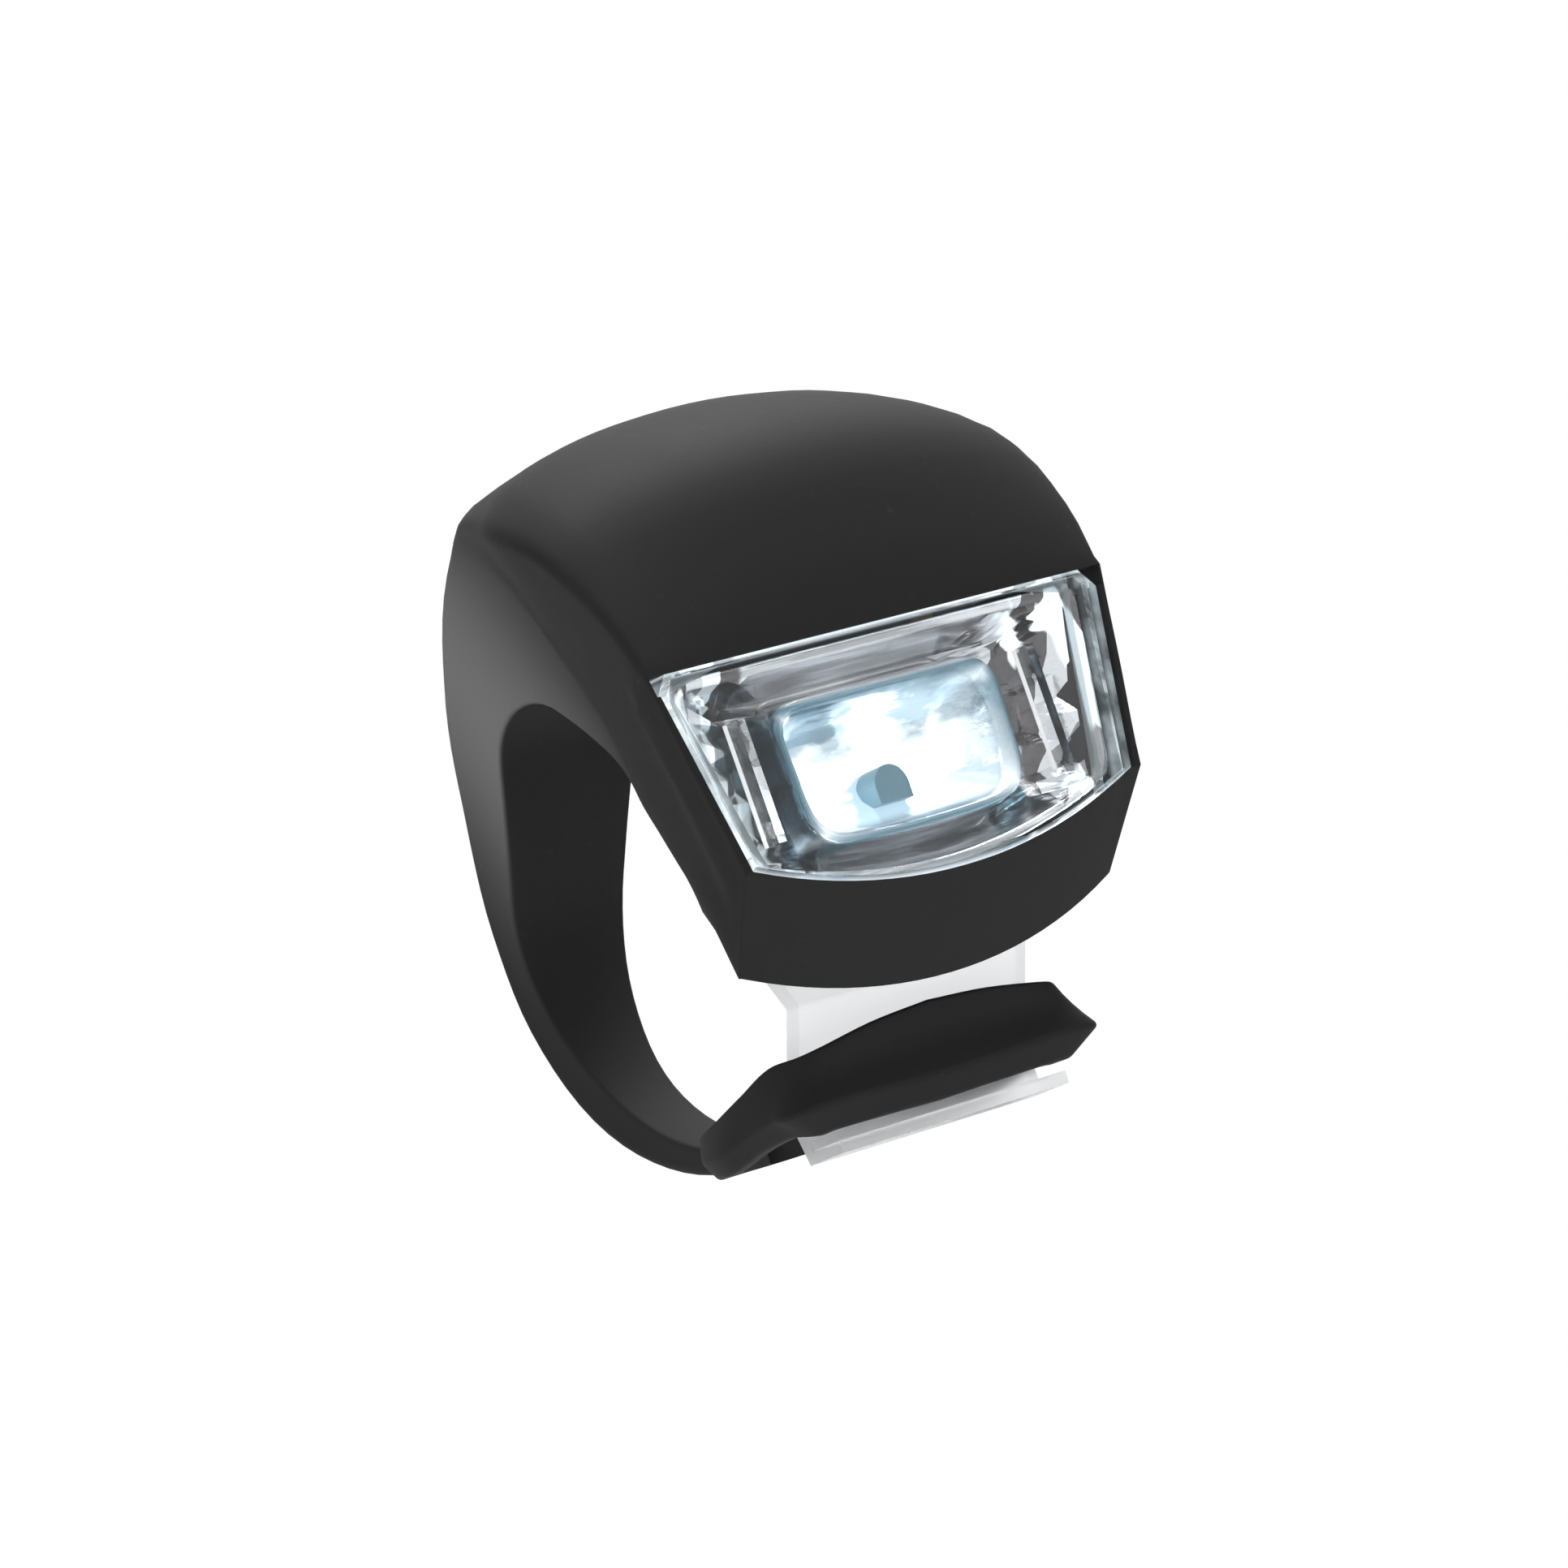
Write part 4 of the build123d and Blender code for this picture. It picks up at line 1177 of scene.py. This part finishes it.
post = {
    # half-width, heights and depths in millimetres
    "half": 1.4,
    "top": 5.3,
    "bottom": 2.9,
    "front": -21.6,
    "back": -19.5,
    "segments": 32,
    "soften": 0.25,
    "softSteps": 3,
}
bm = bmesh.new()
bmesh.ops.create_circle(bm, cap_ends=True, segments=post["segments"], radius=post["half"] * mm)
for vert in bm.verts:
    if vert.co.y < 0:
        vert.co.y = -(post["top"] - post["half"] - post["bottom"]) * mm
bmesh.ops.rotate(bm, verts=bm.verts[:], cent=(0, 0, 0), matrix=Matrix.Rotation(math.radians(90), 3, "X"))
bmesh.ops.translate(bm, verts=bm.verts[:], vec=(0, post["back"] * mm, (post["top"] - post["half"]) * mm))
solid = bmesh.ops.extrude_face_region(bm, geom=bm.faces[:])
moved = [g for g in solid["geom"] if isinstance(g, bmesh.types.BMVert)]
bmesh.ops.translate(bm, verts=moved, vec=(0, (post["front"] - post["back"]) * mm, 0))
bmesh.ops.recalc_face_normals(bm, faces=bm.faces[:])
reflectorPost = makePiece("reflectorPost", bm, plain["postFilm"])
bm.free()
soften = reflectorPost.modifiers.new("soften", "BEVEL")
soften.width = post["soften"] * mm
soften.segments = post["softSteps"]
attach(reflectorPost, "light_head")
print("reflector done")


# floor and backdrop: pale paper that keeps the object's shadow and turns white around it

stageLook = {
    "paper": (0.62, 0.62, 0.62, 1),
    "fibreScale": 40.0,
    "fibreDetail": 6.0,
    "roughness": (0.85, 0.95),
    # distance from the origin over which the paper turns white; all in metres
    "fade": (0.13, 0.3),
    "wallHalf": 3.0,
    "wallAt": 1.2,
    "wallMiddle": 0.4,
    "wallTurn": -40,
    "floorHalf": 0.6,
    "floorZ": -0.085,
    "segments": 8,
}


def seenWhite(tree):
    # 1 for rays from the camera, from gloss and through glass, which show the white background
    path = tree.nodes.new("ShaderNodeLightPath")
    gloss = addMath(tree, "MAXIMUM", path.outputs["Is Camera Ray"], path.outputs["Is Glossy Ray"])
    return addMath(tree, "MAXIMUM", gloss, path.outputs["Is Transmission Ray"])


def buildPaper():
    # fibrous paper near the object, plain white away from it
    look = stageLook
    material, tree, shader, coords = newMaterial("paper", {"Base Color": look["paper"]})
    fibre = addNoise(tree, coords, look["fibreScale"], look["fibreDetail"])
    tree.links.new(addRange(tree, fibre, 0.0, 1.0, *look["roughness"]), shader.inputs["Roughness"])
    glow = tree.nodes.new("ShaderNodeEmission")
    mix = tree.nodes.new("ShaderNodeMixShader")
    span = tree.nodes.new("ShaderNodeVectorMath")
    span.operation = "LENGTH"
    tree.links.new(coords, span.inputs[0])
    away = addRange(tree, span.outputs["Value"], *look["fade"], 0.0, 1.0)
    tree.links.new(addMath(tree, "MULTIPLY", seenWhite(tree), away), mix.inputs["Fac"])
    tree.links.new(shader.outputs["BSDF"], mix.inputs[1])
    tree.links.new(glow.outputs["Emission"], mix.inputs[2])
    tree.links.new(mix.outputs["Shader"], tree.nodes["Material Output"].inputs["Surface"])
    return material


def buildSheet(size):
    # a level square of paper round the origin
    bm = bmesh.new()
    steps = stageLook["segments"]
    bmesh.ops.create_grid(bm, x_segments=steps, y_segments=steps, size=size)
    return bm


def turnSheet(bm, degrees, axis):
    # turned round the origin
    turn = Matrix.Rotation(math.radians(degrees), 3, axis)
    bmesh.ops.rotate(bm, verts=bm.verts[:], cent=(0, 0, 0), matrix=turn)


paper = buildPaper()

# a wall of paper behind the object, away from the camera
bm = buildSheet(stageLook["wallHalf"])
turnSheet(bm, 90, "X")
bmesh.ops.translate(bm, verts=bm.verts[:], vec=(0, stageLook["wallAt"], stageLook["wallMiddle"]))
turnSheet(bm, stageLook["wallTurn"], "Z")
backdrop = makePiece("backdrop", bm, paper)
bm.free()

# the pale floor keeps the object's shadow
bm = buildSheet(stageLook["floorHalf"])
bmesh.ops.translate(bm, verts=bm.verts[:], vec=(0, 0, stageLook["floorZ"]))
studioFloor = makePiece("studioFloor", bm, paper)
bm.free()


# light: a grey room that looks white, a strip and two soft boxes

studioGrey = 0.12
softboxes = {
    # place, aim, width and height, power, spread and roll in degrees
    "sideStrip": ((-0.30, 0.0075, 0.040), (0.0, 0.0075, 0.0205), (0.01, 0.056), 0.0105, 5, 24),
    "sideSoft": ((-0.50, 0.0, 0.34), (0, 0, 0.01), (0.3, 0.3), 1.3, 180, 0),
    "topSoft": ((0.20, -0.02, 0.50), (0, 0, 0.01), (0.4, 0.4), 7.4, 180, 0),
}


def buildWorld():
    # grey for the light that falls on the object, white for the camera and through glass
    world = bpy.data.worlds.new("studio")
    bpy.context.scene.world = world
    world.use_nodes = True
    tree = world.node_tree
    background = tree.nodes["Background"]
    background.inputs["Color"].default_value = (1, 1, 1, 1)
    path = tree.nodes.new("ShaderNodeLightPath")
    seen = addMath(tree, "MAXIMUM", path.outputs["Is Camera Ray"], path.outputs["Is Transmission Ray"])
    strength = addRange(tree, seen, 0.0, 1.0, studioGrey, 1.0)
    tree.links.new(strength, background.inputs["Strength"])


def addSoftbox(name, place, aim, size, power, spread, roll):
    # a rectangular lamp that looks at its aim
    light = bpy.data.lights.new(name, "AREA")
    light.shape = "RECTANGLE"
    light.size, light.size_y = size
    light.energy = power
    light.spread = math.radians(spread)
    lamp = bpy.data.objects.new(name, light)
    bpy.context.collection.objects.link(lamp)
    lamp.location = place
    lamp.rotation_mode = "QUATERNION"
    turn = Matrix.Rotation(math.radians(roll), 3, "Z").to_quaternion()
    lamp.rotation_quaternion = (Vector(aim) - Vector(place)).to_track_quat("-Z", "Y") @ turn


buildWorld()
for name, softbox in softboxes.items():
    addSoftbox(name, *softbox)


# camera: the photo's view

view = {
    # the picture's right and up as directions, the place it looks at, and metres across the
    # picture there
    "right": (0.7417, -0.585, -0.329),
    "up": (0.2, -0.276, 0.940),
    "centre": (0.0037, -0.0082, 0.0074),
    "distance": 0.5,
    "frameWidth": 0.1006,
    "sensor": 36.0,
    "clip": (0.01, 20),
}


def addCamera():
    # looks square onto the picture's plane
    right = Vector(view["right"]).normalized()
    up = Vector(view["up"])
    up = (up - right * up.dot(right)).normalized()
    back = right.cross(up)
    lens = bpy.data.cameras.new("camera")
    lens.sensor_width = view["sensor"]
    lens.lens = view["sensor"] * view["distance"] / view["frameWidth"]
    lens.clip_start, lens.clip_end = view["clip"]
    camera = bpy.data.objects.new("camera", lens)
    bpy.context.collection.objects.link(camera)
    camera.rotation_mode = "QUATERNION"
    camera.rotation_quaternion = Matrix((right, up, back)).transposed().to_quaternion()
    camera.location = Vector(view["centre"]) + back * view["distance"]
    return camera


scene = bpy.context.scene
scene.camera = addCamera()
scene.view_settings.view_transform = "Standard"
print("stage ready")
